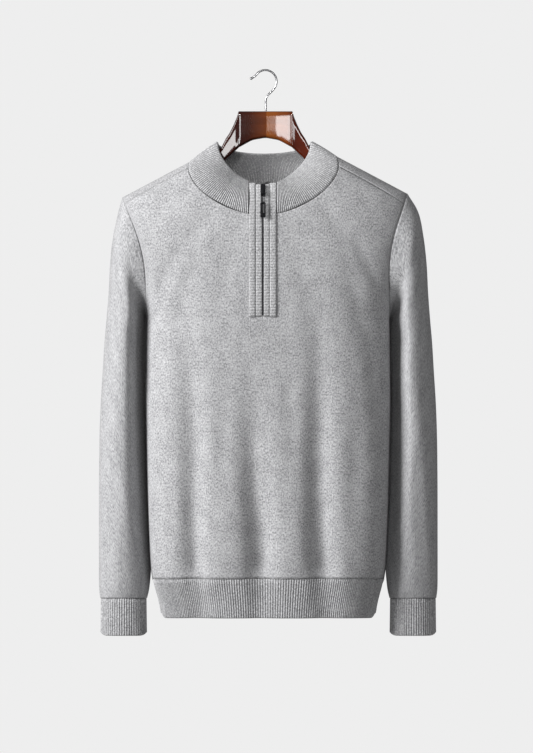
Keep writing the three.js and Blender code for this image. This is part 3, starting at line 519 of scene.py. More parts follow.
def sleeve(node, side):
    """The tube of one sleeve, with its creases pressed along its own outward directions."""
    angle = np.linspace(0, 2 * np.pi, 112, endpoint=False)
    turned = np.where(angle > np.pi, angle - 2 * np.pi, angle)
    edge_x, edge_y, edge_z = armhole(turned, side * np.ones_like(angle))
    gap = 0.5 - 0.9 * np.maximum(0, np.cos(angle)) ** 4
    rings = [np.stack([side * (edge_x + gap) + SHIFT, edge_y, edge_z], axis=-1)]
    for in_x, in_z, out_x, out_z, before, behind, back, tuck in RINGS:
        half = (1 - np.cos(angle)) / 2
        bend = 0.9 + 1.1 * min(1, tuck / 20) * smooth((np.pi / 2 - angle) / 0.8)
        depth = np.where(angle < np.pi, -before, behind) * np.abs(np.sin(angle)) ** bend + back
        depth = depth + tuck * np.maximum(0, np.cos(angle)) ** 2
        middle_x = in_x + (out_x - in_x) * half
        rings.append(np.stack([side * middle_x + SHIFT, depth, in_z + (out_z - in_z) * half], axis=-1))
    tube = through(np.array(rings), 9)
    normal = grid_normals(tube, closed=True) * side
    if np.einsum("ij,ij->", normal[60], tube[60] - tube[60].mean(axis=0)) < 0:
        normal = -normal
    down = np.linspace(0, 1, tube.shape[0])[:, None]
    press = np.zeros(tube.shape[:2])
    for place, degrees, length, width, slant, depth in SLEEVE_CREASES:
        middle = degrees + (side < 0) * 12 + slant * 100 * (down - place)
        apart = (np.degrees(angle) - middle + 180) % 360 - 180
        press += depth * np.exp(-((down - place) / length) ** 2 - (apart / width) ** 2)
    ends = smooth(down / 0.08) * smooth((1 - down) / 0.03)
    gather = 0.5 * smooth((down - 0.95) / 0.05) * np.sin(angle * 19) ** 2
    tube = tube - normal * (press * ends + gather)[..., None]
    normal[-1, :, 2] = 0
    normal[-1] = unit(normal[-1])
    made = shell(f"{node}_knit", tube, normal, KNIT, closed=True)
    wrapped = np.concatenate([tube, tube[:, :1]], axis=1)
    hang(made, wrapped, node, "plain_knit")


for word, side in (("left", -1), ("right", 1)):
    sleeve(f"sleeve_{word}", side)

# %% [markdown]
# ## Rib
# A one by one rib is a row of rounded cords with narrow grooves between. Here each rib is a real ridge:
# the wall's outside rises and falls as a cosine, with the groove made narrower than the cord. The edge
# away from the seam rounds over, as a doubled knit does.

# %% Rib bands
RIB_DEPTH = 1.35
POINTS_A_RIB = 8


def resample(grid, old, new):
    """Each row of a grid read again at new places between the old ones, by straight lines."""
    rows = [[np.interp(new, old, row[:, c]) for c in range(3)] for row in grid]
    return np.stack(rows).transpose(0, 2, 1)


def ribbed(name, base, normal, ribs, thickness, closed=False, inside=False):
    """A ribbed wall on a coarse grid of points (rows by columns), resampled to a few points a rib."""
    count = ribs * POINTS_A_RIB
    old = np.linspace(0, 1, base.shape[1])
    new = np.linspace(0, 1, count + 1)[:(count if closed else count + 1)]
    outer = resample(base, old, new)
    out = unit(resample(normal, old, new))
    wave = 0.5 - 0.5 * np.cos(2 * np.pi * ribs * new)
    wobble = 0.12 * np.sin(2 * np.pi * ribs * new / 7.3) + 0.1 * np.sin(2 * np.pi * ribs * new / 3.1)
    lift = RIB_DEPTH * (wave ** 0.6 - 0.62 + wobble * 0.3)
    edge = np.zeros(base.shape[0])
    edge[-4:] = [0.35, 0.65, 0.88, 0.985]
    shrink = np.sqrt(1 - edge ** 2)[:, None]
    tapered = thickness * shrink
    height = lift[None, :] * shrink - thickness * (1 - shrink) / 2
    outer = outer + out * height[..., None]
    behind = 0.55 * lift[None, :] * shrink + 0.55 if inside else lift[None, :] * shrink
    # the cosine wave also goes on as the crest layer, by which the shader paints shade into the grooves
    return shell(name, outer, out, tapered + behind, closed=closed, crest=wave)


def rows_down(first, last, count, rounded=2.0):
    """Shares from the seam to the free edge, with four close rows for the rounded edge."""
    body = np.linspace(first, last - rounded, count)
    return np.concatenate([body, last - rounded * np.array([0.62, 0.34, 0.12, 0.0])])


# %% Hem rib
for face, gap in (("front", -HALVES_GAP), ("back", HALVES_GAP)):
    levels = rows_down(0, HEM_TOP - SEAM_GAP - HEM_BOTTOM, 9)
    z = (HEM_TOP - SEAM_GAP - levels)[:, None]
    across = np.sin(np.linspace(-np.pi / 2, np.pi / 2, 260))[None, :]
    edge = section_width(z, np.ones_like(z), face)
    corner = smooth((np.abs(across) - 0.955) / 0.045) ** 2 * ((HEM_TOP - z) / (HEM_TOP - HEM_BOTTOM)) ** 6
    base, out = panel(edge * across, z + 7 * corner, face, gap)
    drawn_in = 1.3 * smooth((HEM_TOP - 1 - z) / 6) * smooth((z - HEM_BOTTOM) / 30)
    out[..., 2] = 0
    out = unit(out)
    base = base - out * drawn_in[..., None]
    made = ribbed(f"hem_rib_{face}_knit", base, out, 138, RIB_KNIT)
    hang(made, base, f"hem_rib_{face}", "rib_knit")

# %% Cuffs
for word, side in (("left", -1), ("right", 1)):
    in_x, _, out_x, _, _, _, back, _ = RINGS[-1]
    down = rows_down(0, CUFF_TOP - SEAM_GAP - CUFF_BOTTOM, 9)[:, None]
    rounding = 5 * (down / (CUFF_TOP - CUFF_BOTTOM)) ** 6
    turn = np.linspace(0, 2 * np.pi, 161)[None, :]
    share = 0.96 + 0.02 * down / 56
    half = (out_x - in_x) / 2 * share
    deep = 26 - down / 56
    base = np.stack([
        side * ((in_x + out_x) / 2 - half * np.cos(turn)) + SHIFT,
        -deep * np.sin(turn) + back,
        CUFF_TOP - SEAM_GAP - down + rounding * np.abs(np.cos(turn)) ** 12,
    ], axis=-1)
    out = np.stack([-side * np.cos(turn) / half, -np.sin(turn) / deep, 0 * turn * down], axis=-1)
    made = ribbed(f"cuff_{word}_knit", base, unit(out), 58, RIB_KNIT, closed=True)
    hang(made, base, f"cuff_{word}", "rib_knit")

# %% [markdown]
# ## Collar
# The stand collar is a doubled rib sewn round the neck hole. It leans inward on all sides, stands higher
# behind than in front, and its two ends meet the zip. Each rib runs square to the seam, so the ribs fan,
# and they are spaced evenly as seen from the front.

# %% Collar
COLLAR_EDGE = {
    "z": -105, "half": 71, "centre": -2,
    "front_dip": 66, "back_dip": 18, "front_y": -55, "back_y": 42,
}
COLLAR_RIBS = 172
NECK_DEPTH = 68.0
neck_columns = np.nonzero(NECK)[0]
half = len(neck_columns) // 2


def neck_ring(front_row, back_row):
    """The neck hole's points in order: the front's right half, the back, then the front's left half."""
    before, behind = front_row[neck_columns], back_row[neck_columns]
    return np.concatenate([before[half:], behind[::-1], before[:half]])


chain = neck_ring(front_grid[-1], back_grid[-1])
chain_out = neck_ring(front_normal[-1], back_normal[-1])
run = np.concatenate([[0], np.cumsum(np.linalg.norm(np.diff(chain, axis=0), axis=1))])
run /= run[-1]
u = np.linspace(0.042, 0.95, 420)
seam = np.stack([np.interp(u, run, chain[:, c]) for c in range(3)], axis=-1)
seam_out = np.stack([np.interp(u, run, chain_out[:, c]) for c in range(3)], axis=-1)
turned = np.unwrap(np.arctan2((seam[:, 0] - ZIP_X) / NECK_HALF, -seam[:, 1] / NECK_DEPTH))
kernel = np.hanning(25)
kernel /= kernel.sum()
turned = np.convolve(np.pad(turned, 12, mode="reflect", reflect_type="odd"), kernel, mode="valid")
sine, cosine = np.sin(turned), np.cos(turned)
dip = np.where(cosine > 0, COLLAR_EDGE["front_dip"] * np.maximum(0, 1 - np.abs(sine) ** 1.7) ** (1 / 1.7),
               COLLAR_EDGE["back_dip"] * np.abs(cosine))
top = np.stack([
    COLLAR_EDGE["half"] * sine + COLLAR_EDGE["centre"],
    np.where(cosine > 0, COLLAR_EDGE["front_y"], -COLLAR_EDGE["back_y"]) * cosine,
    COLLAR_EDGE["z"] - dip,
], axis=-1)
share = rows_down(0, 1, 14, rounded=0.05)[:, None, None]
rise = top - seam
lifted = seam + 0.8 * unit(rise)
collar_base = lifted + (top - lifted) * share
out = unit(np.cross(rise, np.gradient(seam, axis=0)))
away = np.stack([seam[:, 0] - ZIP_X, seam[:, 1], 0 * seam[:, 0]], axis=-1)
out = np.where(np.einsum("ij,ij->i", out, away)[:, None] < 0, -out, out)
swell = 0.6 + 4 * np.abs(cosine)
collar_base = collar_base + out * (swell[:, None] * np.sin(np.pi * share))
spread = np.linspace(0, 1, len(u))
for end, beside, edge_at in ((0, 4, ZIP_X + 21.2), (-1, -5, ZIP_X - 21.6)):
    weight = 1 - smooth(np.abs(spread - spread[end]) / 0.12)
    way = collar_base[:, end] - collar_base[:, beside]
    reach_out = (edge_at - collar_base[:, end, 0]) / way[:, 0]
    collar_base = collar_base + weight[None, :, None] * (way * reach_out[:, None])[:, None, :]
collar_out = np.broadcast_to(out, collar_base.shape).copy()
collar_out[0] = seam_out
seen = np.linalg.norm(np.diff(collar_base[5][:, [0, 2]], axis=0), axis=1)
seen = np.concatenate([[0], np.cumsum(seen)])
columns = np.arange(len(u))
even = np.interp(np.linspace(0, seen[-1], 900), seen, columns)
collar_base, collar_out = resample(collar_base, columns, even), resample(collar_out, columns, even)
collar = ribbed("collar_knit", collar_base, collar_out, COLLAR_RIBS, COLLAR_KNIT, inside=True)
hang(collar, collar_base, "collar", "rib_knit")

# %% [markdown]
# ## Zip placket
# Four narrow knitted strips run down the front beside the zip. Their stitches lie across, so each shows
# a ladder of short ridges. Between them the closed teeth are a thin dark line of small metal blocks.

# %% Placket strips
STRIP_PITCH, STRIP_LIFT = 4.3, 0.5


def zip_line(z):
    """Depth of the line down the middle of the front: the chest below the neck, a straight lean above."""
    chest = panel(np.full_like(z, NECK_CENTRE), np.minimum(z, NECK_FRONT_Z), "front")[0][..., 1]
    start = panel(np.array([NECK_CENTRE]), np.array([NECK_FRONT_Z]), "front")[0][0, 1]
    lean = start + (COLLAR_EDGE["front_y"] - start) * (z - NECK_FRONT_Z) / (ZIP_TOP - NECK_FRONT_Z)
    return np.where(z > NECK_FRONT_Z, lean, chest)


def strip(node, left, right, thickness, top, bottom):
    """A strip along the zip: crowned across, with a cosine ridge every pitch down its length."""
    rows = int((top - bottom) / STRIP_PITCH * 8)
    z = np.linspace(bottom, top, rows)[:, None]
    t = np.linspace(-1, 1, 17)[None, :]
    wander = 0.35 * np.sin(z / 23 + left)
    x = ZIP_X + (left + right) / 2 + wander * (1 - t ** 2) + t * (right - left) / 2
    line = zip_line(z + 0 * x)
    slope = np.gradient(zip_line(z)[:, 0], z[:, 0])[:, None]
    out = unit(np.stack([0 * x, -1 + 0 * x, slope + 0 * x], axis=-1))
    crown = np.sqrt(np.maximum(0, 1 - np.abs(t) ** 3.2))
    ladder = (0.5 - 0.5 * np.cos(2 * np.pi * z / STRIP_PITCH)) ** 0.7
    ends = np.minimum(smooth((z - bottom) / 2.5), smooth((top - z) / 2.5))
    height = (thickness * (0.45 + 0.55 * crown) + 0.8 * ladder * crown) * (0.5 + 0.5 * ends)
    outer = np.stack([x, line, z + 0 * x], axis=-1) + out * (STRIP_LIFT + height)[..., None]
    # the crest layer paints shade into the ladder's grooves and towards the strip's edges
    made = shell(f"{node}_knit", outer, out, height, crest=ladder * (0.35 + 0.65 * crown))
    hang(made, outer, node, "rib_knit")


for node, left, right, thickness, shorter in (
    ("placket_left", -20.6, -11.2, 1.9, 0), ("placket_right", 10.2, 20.2, 1.7, 0),
    ("zip_edge_left", -11.0, -1.15, 1.5, 1), ("zip_edge_right", 1.1, 10.0, 1.1, 1),
):
    strip(node, left, right, thickness, ZIP_TOP - 2 * shorter, ZIP_BOTTOM + shorter)

# %% Zip teeth
TEETH_PITCH, TEETH_TOP = 2.4, -185.5
TOOTH_HALF = np.array([0.62, 0.7, 0.42])
tooth_z = np.arange(ZIP_BOTTOM + 4, TEETH_TOP, TEETH_PITCH / 2)
corner = np.array([(i, j, k) for i in (-1, 1) for j in (-1, 1) for k in (-1, 1)], dtype=float)
box_faces = np.array([(0, 1, 3, 2), (4, 6, 7, 5), (0, 4, 5, 1), (2, 3, 7, 6), (0, 2, 6, 4), (1, 5, 7, 3)])
side = np.where(np.arange(len(tooth_z)) % 2 == 0, -1, 1)
centre = np.stack([ZIP_X + 0.3 * side, zip_line(tooth_z) - 1.1, tooth_z], axis=-1)
blocks = centre[:, None, :] + corner[None] * TOOTH_HALF
faces = (np.arange(len(tooth_z)) * 8)[:, None, None] + box_faces[None]
teeth = new_mesh("zip_teeth_metal", blocks.reshape(-1, 3), faces.reshape(-1, 4), smooth_faces=False)
bevel = teeth.modifiers.new("rounding", "BEVEL")
bevel.width, bevel.segments = 0.15 * MM, 1
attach(teeth, "garment")
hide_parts("zip_teeth")
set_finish(teeth, "dark_metal")
print("teeth", len(tooth_z))

# %% [markdown]
# ## Slider, pull and hook
# The zip's slider and pull keep their solids, with their corners softened by a bevel. The hook is a bent
# wire: its solid has the right route but few sides, so a finer tube follows the same curve.

# %% Slider and pull
for node in ("zip_slider", "zip_pull"):
    thing = frame["nodes"][node]
    weld = thing.modifiers.new("weld", "WELD")
    weld.merge_threshold = 1e-5
    soften = thing.modifiers.new("soften", "BEVEL")
    soften.width, soften.segments, soften.limit_method = 0.28 * MM, 3, "ANGLE"

# %% Hook
WIRE = 1.5
CROWN_X, CROWN_Z, CROWN_RADIUS = -0.3, -15.5, 17.0


def closed_tube(name, rings):
    """A mesh through rings of matching points, closed by a cap at each end and turned to face outward."""
    rows, sides = rings.shape[:2]
    i, j = np.meshgrid(np.arange(rows - 1) * sides, np.arange(sides), indexing="ij")
    k = (j + 1) % sides
    faces = np.stack([i + j, i + k, i + sides + k, i + sides + j], axis=-1).reshape(-1, 4)
    caps = [list(range(sides))[::-1], list(range((rows - 1) * sides, rows * sides))]
    points = rings.reshape(-1, 3)
    if signed_volume(points, faces) < 0:
        faces, caps = faces[:, ::-1], [cap[::-1] for cap in caps]
    return new_mesh(name, points, faces.tolist() + caps)


def wire(route, radius, sides=20):
    """Round rings along a route in the XZ plane."""
    step = unit(np.gradient(route, axis=0))
    across = np.stack([step[:, 2], 0 * step[:, 0], -step[:, 0]], axis=-1)
    turn = np.linspace(0, 2 * np.pi, sides, endpoint=False)
    ring = (np.cos(turn)[None, :, None] * across[:, None, :]
            + np.sin(turn)[None, :, None] * np.array([0.0, 1.0, 0.0]))
    return route[:, None, :] + ring * radius[:, None, None]


arc = np.radians([-28, -5, 20, 45, 70, 90, 110, 130, 148])
knots = np.concatenate([
    [(0.45, 0, -60.1), (0.45, 0, -50), (0.6, 0, -42), (3.4, 0, -36.5), (9.5, 0, -30.3)],
    np.stack([CROWN_X + CROWN_RADIUS * np.cos(arc), 0 * arc, CROWN_Z + CROWN_RADIUS * np.sin(arc)], axis=-1),
    [(-18.5, 0, -9.4), (-23.2, 0, -12)],
])
route = through(knots[:, None, :], 12)[:, 0]
radius = np.full(len(route), WIRE)
ball = np.linspace(0, 1, 14)
radius[-14:] = WIRE + 0.55 * np.exp(-((ball - 0.72) / 0.25) ** 2)
radius[-1] = 0.5
hook = closed_tube("hook_wire", wire(route, radius))
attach(hook, "garment")
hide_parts("hanger_hook")
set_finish(hook, "hook_chrome")

# %% [markdown]
# ## Hanger
# The wooden hanger has a flat topped middle, hollowed sides and an arched underside, and its arms follow
# the shoulders. Its front is planed in flat facets, which catch the light as upright bands.

# %% Hanger
HANGER_TOP = np.array([(0, -60.5), (40.5, -60.5), (43, -69), (48, -81), (54, -93), (60, -102), (66, -114),
                       (76, -124.5), (94, -136)])
HANGER_UNDER = np.array([(0, -100.5), (20, -104), (40, -115), (57, -131), (75, -146)])
HANGER_END, HANGER_REST = 196.0, 3.75
LEFT_FACET, RIGHT_FACET = 5.0, 1.5
FACET_X, EDGE_X = 17.0, 38.5
reach_steps = np.concatenate([
    np.linspace(0, 40.2, 26), np.linspace(40.5, 100, 60), np.linspace(102, HANGER_END, 48),
])
x = np.concatenate([-reach_steps[:0:-1], reach_steps])
reach = np.abs(x)
rest = ridge_z(x - SHIFT) - HANGER_REST
beyond = smooth((reach - 94) / 32)
falling = np.minimum(-136 - 0.5 * (reach - 94), rest)
top_z = np.where(reach < 94, np.interp(reach, HANGER_TOP[:, 0], HANGER_TOP[:, 1]),
                 falling + (rest - falling) * beyond)
tip = np.clip((HANGER_END - reach) / 14, 0, 1)
tall = (42 + (26 - 42) * np.clip((reach - 75) / 110, 0, 1)) * (0.45 + 0.55 * np.sqrt(tip))
far = -146 + (top_z - tall + 146) * np.clip((reach - 75) / 25, 0, 1)
under_z = np.where(reach < 75, np.interp(reach, HANGER_UNDER[:, 0], HANGER_UNDER[:, 1]),
                   np.minimum(top_z - tall, far))
blur = np.hanning(9) / np.hanning(9).sum()
under_z = np.convolve(np.pad(under_z, 4, mode="edge"), blur, mode="valid")
half = (9 - 2 * np.clip(reach / 45, 0, 1)) * (0.6 + 0.4 * tip)
corner = np.minimum(5.2, (top_z - under_z) / 3)
quarter = np.linspace(0, 1, 9) * np.pi / 2
section = [(-half * np.sin(angle) ** 0.9, top_z - corner * (1 - np.cos(angle))) for angle in quarter]
for share in (0.25, 0.5, 0.75):
    section.append((-half, top_z - corner + (under_z - top_z + 2 * corner) * share))
for angle in quarter[::-1]:
    section.append((-half * np.sin(angle) ** 0.9, under_z + corner * (1 - np.cos(angle))))
front_half = np.array(section)
left_fall = math.tan(math.radians(LEFT_FACET)) * np.clip(-EDGE_X - x, 0, 36)
right_fall = math.tan(math.radians(RIGHT_FACET)) * np.clip(x - FACET_X, 0, EDGE_X - FACET_X)
right_fall = right_fall * (1 - np.clip((x - EDGE_X) / 1.5, 0, 1))
front_half[:, 0] += (left_fall + right_fall) * np.minimum(1, -front_half[:, 0] / half)
back_half = front_half[::-1][1:-1] * np.array([-1, 1])[None, :, None]
ring = np.concatenate([front_half, back_half])
points = np.stack([np.broadcast_to(x, ring[:, 0].shape), ring[:, 0], ring[:, 1]], axis=-1).transpose(1, 0, 2)
hanger = closed_tube("hanger_lacquered", points)
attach(hanger, "garment")
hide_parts("hanger_wood")
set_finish(hanger, "lacquered_wood")
print("hanger stations", len(x))

# %% [markdown]
# ## Materials
# The cloth is a grey heather: pale and dark fibres spun together, so it is flecked close to and an even
# grey from afar. The stitches are drawn on the flat cloth's own coordinates, in metres, so they run with
# every piece, and the ribs' grooves are darkened with painted shade. The hanger is red-brown lacquered wood
# with a painted highlight band in its colour, the hook chrome, and the zip dark plated metal.

# %% Heather knit shader
def add(tree, kind, place, **values):
    """A node in a tree at a place, with values put on its inputs: an underscore stands for a space."""
    node = tree.nodes.new(kind)
    node.location = place
    for key, value in values.items():
        node.inputs[key.replace("_", " ")].default_value = value
    return node


def maths(tree, operation, place, first, second=None):
    """A Math node: each operand is a socket to link or a number."""
    node = tree.nodes.new("ShaderNodeMath")
    node.operation = operation
    node.location = place
    for index, value in enumerate((first, second)):
        if value is None:
            continue
        if isinstance(value, (int, float)):
            node.inputs[index].default_value = value
        else:
            tree.links.new(value, node.inputs[index])
    return node.outputs[0]


def heather_group():
    """Node group: fibre flecks with painted shade in the rib grooves as a colour, and stitches with fuzz as
    a height, on cloth coordinates.
    """
    tree = bpy.data.node_groups.new("heather", "ShaderNodeTree")
    face = tree.interface
    for name, way, kind in (
        ("Dark", "INPUT", "Color"), ("Light", "INPUT", "Color"), ("Wales per metre", "INPUT", "Float"),
        ("Courses per metre", "INPUT", "Float"), ("Groove", "INPUT", "Float"),
        ("Colour", "OUTPUT", "Color"), ("Height", "OUTPUT", "Float"),
    ):
        face.new_socket(name, in_out=way, socket_type=f"NodeSocket{kind}")
    inside = add(tree, "NodeGroupInput", (-1500, 0))
    outside = add(tree, "NodeGroupOutput", (700, 0))
    uv = add(tree, "ShaderNodeUVMap", (-1500, -300))
    uv.uv_map = "cloth"
    split = add(tree, "ShaderNodeSeparateXYZ", (-1300, -300))
    tree.links.new(uv.outputs[0], split.inputs[0])
    wale = maths(tree, "MULTIPLY", (-1100, -200), split.outputs[0], inside.outputs["Wales per metre"])
    course = maths(tree, "MULTIPLY", (-1100, -400), split.outputs[1], inside.outputs["Courses per metre"])
    zigzag = maths(tree, "PINGPONG", (-900, -300), wale, 0.5)
    leaning = maths(tree, "ADD", (-700, -400), course, zigzag)
    stitch = maths(tree, "SINE", (-500, -400), maths(tree, "MULTIPLY", (-600, -400), leaning, 2 * math.pi))
    cord = maths(tree, "SINE", (-500, -200), maths(tree, "MULTIPLY", (-700, -200), zigzag, 2 * math.pi))
    knit = maths(tree, "ADD", (-300, -300), maths(tree, "MULTIPLY", (-400, -400), stitch, 0.3),
                 maths(tree, "MULTIPLY", (-400, -200), cord, 0.5))

    def noise(place, stretch, scale, detail):
        """Noise on cloth coordinates, drawn out along the wales."""
        mapping = add(tree, "ShaderNodeMapping", (place[0] - 200, place[1]), Scale=(*stretch, 1))
        tree.links.new(uv.outputs[0], mapping.inputs["Vector"])
        made = add(tree, "ShaderNodeTexNoise", place, Scale=scale, Detail=detail, Roughness=0.6)
        tree.links.new(mapping.outputs[0], made.inputs["Vector"])
        return made.outputs[0]

    fibre = noise((-700, 500), (1, 0.55), 560, 3)
    cross = noise((-700, 250), (0.7, 1), 400, 3)
    cloud = noise((-700, 0), (1, 0.6), 55, 3)
    mixed = maths(tree, "ADD", (-400, 400), maths(tree, "MULTIPLY", (-500, 500), fibre, 0.55),
                  maths(tree, "MULTIPLY", (-500, 250), cross, 0.3))
    mixed = maths(tree, "ADD", (-250, 300), mixed, maths(tree, "MULTIPLY", (-500, 0), cloud, 0.15))
    level = add(tree, "ShaderNodeMapRange", (-50, 300), From_Min=0.39, From_Max=0.59)
    tree.links.new(mixed, level.inputs["Value"])
    crest = add(tree, "ShaderNodeUVMap", (-500, 800))
    crest.uv_map = "crest"
    crest_split = add(tree, "ShaderNodeSeparateXYZ", (-300, 800))
    tree.links.new(crest.outputs[0], crest_split.inputs[0])
    # painted shade: the colour darkens below each rib's top, scaled by the group's groove setting
    below = maths(tree, "SUBTRACT", (-200, 700), crest_split.outputs[0], 1.0)
    painted_groove_shade = maths(tree, "MULTIPLY", (-100, 700), below, inside.outputs["Groove"])
    colour = add(tree, "ShaderNodeMix", (300, 200))
    colour.data_type = "RGBA"
    shade = maths(tree, "ADD", (150, 400), level.outputs[0], painted_groove_shade)
    tree.links.new(maths(tree, "MAXIMUM", (220, 400), shade, 0.0), colour.inputs["Factor"])
    tree.links.new(inside.outputs["Dark"], colour.inputs[6])
    tree.links.new(inside.outputs["Light"], colour.inputs[7])
    fuzz = maths(tree, "MULTIPLY", (0, -100), fibre, 0.9)
    tree.links.new(colour.outputs[2], outside.inputs["Colour"])
    tree.links.new(maths(tree, "ADD", (300, -200), knit, fuzz), outside.inputs["Height"])
    return tree


HEATHER = heather_group()


def new_material(name, **values):
    """A material, with values put on the inputs of its surface: an underscore stands for a space."""
    material = bpy.data.materials.new(name)
    material.use_nodes = True
    surface = material.node_tree.nodes["Principled BSDF"]
    for key, value in values.items():
        surface.inputs[key.replace("_", " ")].default_value = value
    return material, material.node_tree, surface


def cloth_material(name, dark, light, wales, courses, bump, painted_groove_shade=0.0):
    """A matt knit with a soft sheen, coloured and raised by the heather group, which also paints shade into
    the rib grooves.
    """
    material, tree, surface = new_material(
        name, Roughness=0.92, Specular_IOR_Level=0.15, Sheen_Weight=0.12, Sheen_Roughness=0.6)
    group = add(tree, "ShaderNodeGroup", (-500, 100))
    group.node_tree = HEATHER
    for key, value in (("Dark", (*dark, 1)), ("Light", (*light, 1)), ("Wales per metre", wales),
                       ("Courses per metre", courses), ("Groove", painted_groove_shade)):
        group.inputs[key].default_value = value
    raised = add(tree, "ShaderNodeBump", (-250, -200), Strength=0.6, Distance=bump)
    tree.links.new(group.outputs["Colour"], surface.inputs["Base Color"])
    tree.links.new(group.outputs["Height"], raised.inputs["Height"])
    tree.links.new(raised.outputs[0], surface.inputs["Normal"])
    return material


knit_cloth = cloth_material("plain_knit", (0.18, 0.18, 0.187), (0.50, 0.50, 0.51), 620, 800, 0.00022)
# the rib, collar and band knits paint shade into their grooves, the collar most strongly
rib_cloth = cloth_material("rib_knit", (0.21, 0.21, 0.216), (0.53, 0.53, 0.54), 600, 760, 0.00018, 0.3)
collar_cloth = cloth_material("collar_knit", (0.25, 0.25, 0.256), (0.62, 0.62, 0.63), 600, 760, 0.00018, 1.0)
band_cloth = cloth_material("band_knit", (0.22, 0.22, 0.225), (0.56, 0.56, 0.57), 600, 760, 0.00018, 0.25)

# %% Metal and wood shaders
def metal_material(name, colour, roughness, grain):
    """Metal whose roughness is one value and whose colour wanders a little over the piece."""
    material, tree, surface = new_material(name, Metallic=1.0, Roughness=roughness)
    place = add(tree, "ShaderNodeTexCoord", (-900, 0))
    noise = add(tree, "ShaderNodeTexNoise", (-700, 0), Scale=grain)
    ramp = add(tree, "ShaderNodeValToRGB", (-450, 0))
    ramp.color_ramp.elements[0].color = (*[c * 0.8 for c in colour], 1)
    ramp.color_ramp.elements[1].color = (*colour, 1)
    tree.links.new(place.outputs["Object"], noise.inputs["Vector"])
    tree.links.new(noise.outputs[0], ramp.inputs[0])
    tree.links.new(ramp.outputs[0], surface.inputs["Base Color"])
    return material


dark_metal = metal_material("dark_metal", (0.045, 0.045, 0.05), 0.36, 900)
chrome = metal_material("hook_chrome", (0.36, 0.36, 0.37), 0.26, 300)

wood, tree, surface = new_material(
    "lacquered_wood", Roughness=0.5, Specular_IOR_Level=0.0, Coat_Weight=1.0, Coat_Roughness=0.07)
place = add(tree, "ShaderNodeTexCoord", (-1300, 0))
stretched = add(tree, "ShaderNodeMapping", (-1100, 0), Scale=(14, 60, 90))
grain = add(tree, "ShaderNodeTexNoise", (-900, 0), Scale=1.4, Detail=6, Roughness=0.6, Distortion=0.6)
split = add(tree, "ShaderNodeSeparateXYZ", (-1100, 300))
tree.links.new(place.outputs["Object"], split.inputs[0])
along = add(tree, "ShaderNodeMapRange", (-900, 300), From_Min=-0.08, From_Max=0.08)
tree.links.new(split.outputs[0], along.inputs["Value"])
ramp = add(tree, "ShaderNodeValToRGB", (-600, 300))
# place from left to right along the hanger, and the colour there: the wood's red-brown stain, with a painted
# highlight in the lighter amber band from the middle to the right facet's edge
stain_and_highlight_stops = [(0.0, (0.05, 0.008, 0.004)), (0.25, (0.02, 0.003, 0.0015)), (0.34, (0.03, 0.005, 0.0015)),
         (0.50, (0.10, 0.022, 0.004)), (0.515, (0.20, 0.055, 0.008)), (0.70, (0.16, 0.036, 0.006)),
         (0.76, (0.045, 0.005, 0.001)), (1.0, (0.11, 0.014, 0.002))]
for _ in range(len(stain_and_highlight_stops) - 2):
    ramp.color_ramp.elements.new(0.5)
for element, (position, colour) in zip(ramp.color_ramp.elements, stain_and_highlight_stops):
    element.position = position
    element.color = (*colour, 1)
darker = add(tree, "ShaderNodeMapRange", (-600, 0), To_Min=0.45, To_Max=1.25)
tree.links.new(place.outputs["Object"], stretched.inputs["Vector"])
tree.links.new(stretched.outputs[0], grain.inputs["Vector"])
tree.links.new(grain.outputs[0], darker.inputs["Value"])
tree.links.new(along.outputs[0], ramp.inputs[0])
# the stain with its painted highlight band, times the grain
stain_and_highlight = add(tree, "ShaderNodeMix", (-250, 200))
stain_and_highlight.data_type = "RGBA"
stain_and_highlight.blend_type = "MULTIPLY"
stain_and_highlight.inputs["Factor"].default_value = 1.0
tree.links.new(ramp.outputs[0], stain_and_highlight.inputs[6])
tree.links.new(darker.outputs[0], stain_and_highlight.inputs[7])
tree.links.new(stain_and_highlight.outputs[2], surface.inputs["Base Color"])

# %% Which piece wears which
WEARS = {
    "plain_knit": knit_cloth, "rib_knit": rib_cloth, "dark_metal": dark_metal,
    "lacquered_wood": wood, "hook_chrome": chrome,
}
NODE_WEARS = {"zip_slider": dark_metal, "zip_pull": dark_metal}


def wear(thing, material):
    """Puts one material on every face of a piece."""
    thing.data.materials.clear()
    thing.data.materials.append(material)


for thing in list(bpy.context.scene.objects):
    if thing.type != "MESH":
        continue
    if thing.name in NODE_WEARS:
        wear(thing, NODE_WEARS[thing.name])
    elif "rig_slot" in thing:
        wear(thing, WEARS[thing["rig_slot"]])
for name in ("placket_left_knit", "placket_right_knit", "zip_edge_left_knit", "zip_edge_right_knit"):
    wear(bpy.data.objects[name], band_cloth)
wear(collar, collar_cloth)

# %% [markdown]
# ## Light
# One large soft light stands to the front left, so the folds shade from left to right, and a weaker one
# in front fills them. Two tall narrow lights show only as bright bands in the lacquer, and a small beam
# reaches the inside of the collar. The backdrop is a plain pale grey.

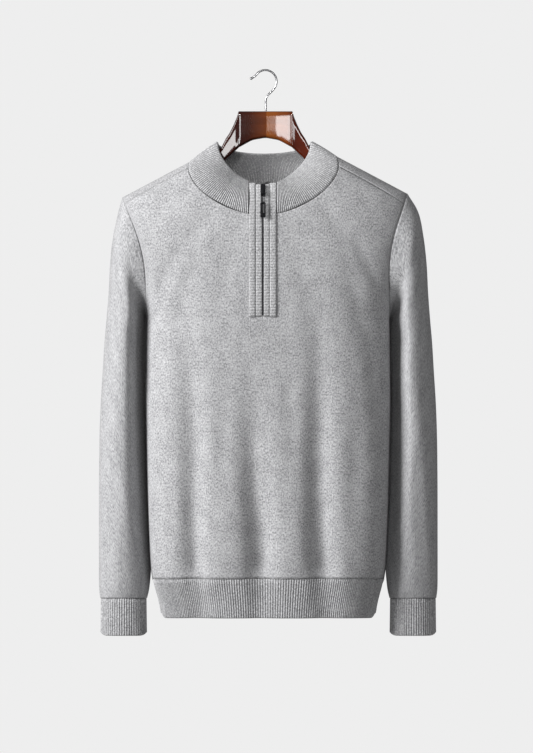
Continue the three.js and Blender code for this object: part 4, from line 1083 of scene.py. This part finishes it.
# %% Lights and world
def area_light(name, place, aim, size, power, tall=None):
    """A rectangular light that looks from a place to a point."""
    data = bpy.data.lights.new(name, "AREA")
    data.shape = "RECTANGLE" if tall else "SQUARE"
    data.size = size
    if tall:
        data.size_y = tall
    data.energy = power
    thing = bpy.data.objects.new(name, data)
    thing.location = place
    way = np.array(place, dtype=float) - np.array(aim, dtype=float)
    flat_way = math.hypot(way[0], way[1])
    thing.rotation_euler = (math.atan2(flat_way, way[2]), 0, math.atan2(way[0], -way[1]))
    bpy.context.collection.objects.link(thing)
    return thing


BODY_AIM, HANGER_AIM = (0, 0, -0.45), (0, 0, -0.1)
area_light("key", (-3.6, -2.2, 1.1), BODY_AIM, 1.9, 345)
fill = area_light("fill", (0.6, -4.6, 0.9), BODY_AIM, 2.4, 52)
fill.visible_glossy = False
for name, turn in (("left card", -10), ("right card", 8)):
    place = (5 * math.sin(math.radians(turn)), -5 * math.cos(math.radians(turn)), HANGER_AIM[2])
    card = area_light(name, place, HANGER_AIM, 0.42, 26, tall=1.3)
    card.visible_diffuse = False
    card.visible_camera = False
beam = bpy.data.lights.new("neck spot", "SPOT")
beam.energy = 50
beam.spot_size = math.radians(9)
beam.spot_blend = 1
beam.shadow_soft_size = 0.05
neck_spot = bpy.data.objects.new("neck spot", beam)
neck_spot.location = (-0.35, -1.5, 0.25)
backward = neck_spot.location - Vector((0.05, 0.04, -0.1))
neck_spot.rotation_euler = backward.to_track_quat("Z", "Y").to_euler()
bpy.context.collection.objects.link(neck_spot)

world = bpy.data.worlds.new("pale_room")
bpy.context.scene.world = world
world.use_nodes = True
tree = world.node_tree
tree.nodes.clear()
seen = add(tree, "ShaderNodeBackground", (0, 200), Strength=1.0)
seen.inputs["Color"].default_value = (0.855, 0.855, 0.855, 1)
room = add(tree, "ShaderNodeBackground", (0, -100), Strength=0.2)
room.inputs["Color"].default_value = (1.0, 1.0, 1.0, 1)
path = add(tree, "ShaderNodeLightPath", (-300, 300))
choose = add(tree, "ShaderNodeMixShader", (300, 100))
result = add(tree, "ShaderNodeOutputWorld", (500, 100))
tree.links.new(path.outputs["Is Camera Ray"], choose.inputs[0])
tree.links.new(room.outputs[0], choose.inputs[1])
tree.links.new(seen.outputs[0], choose.inputs[2])
tree.links.new(choose.outputs[0], result.inputs[0])
bpy.context.scene.view_settings.view_transform = "Standard"
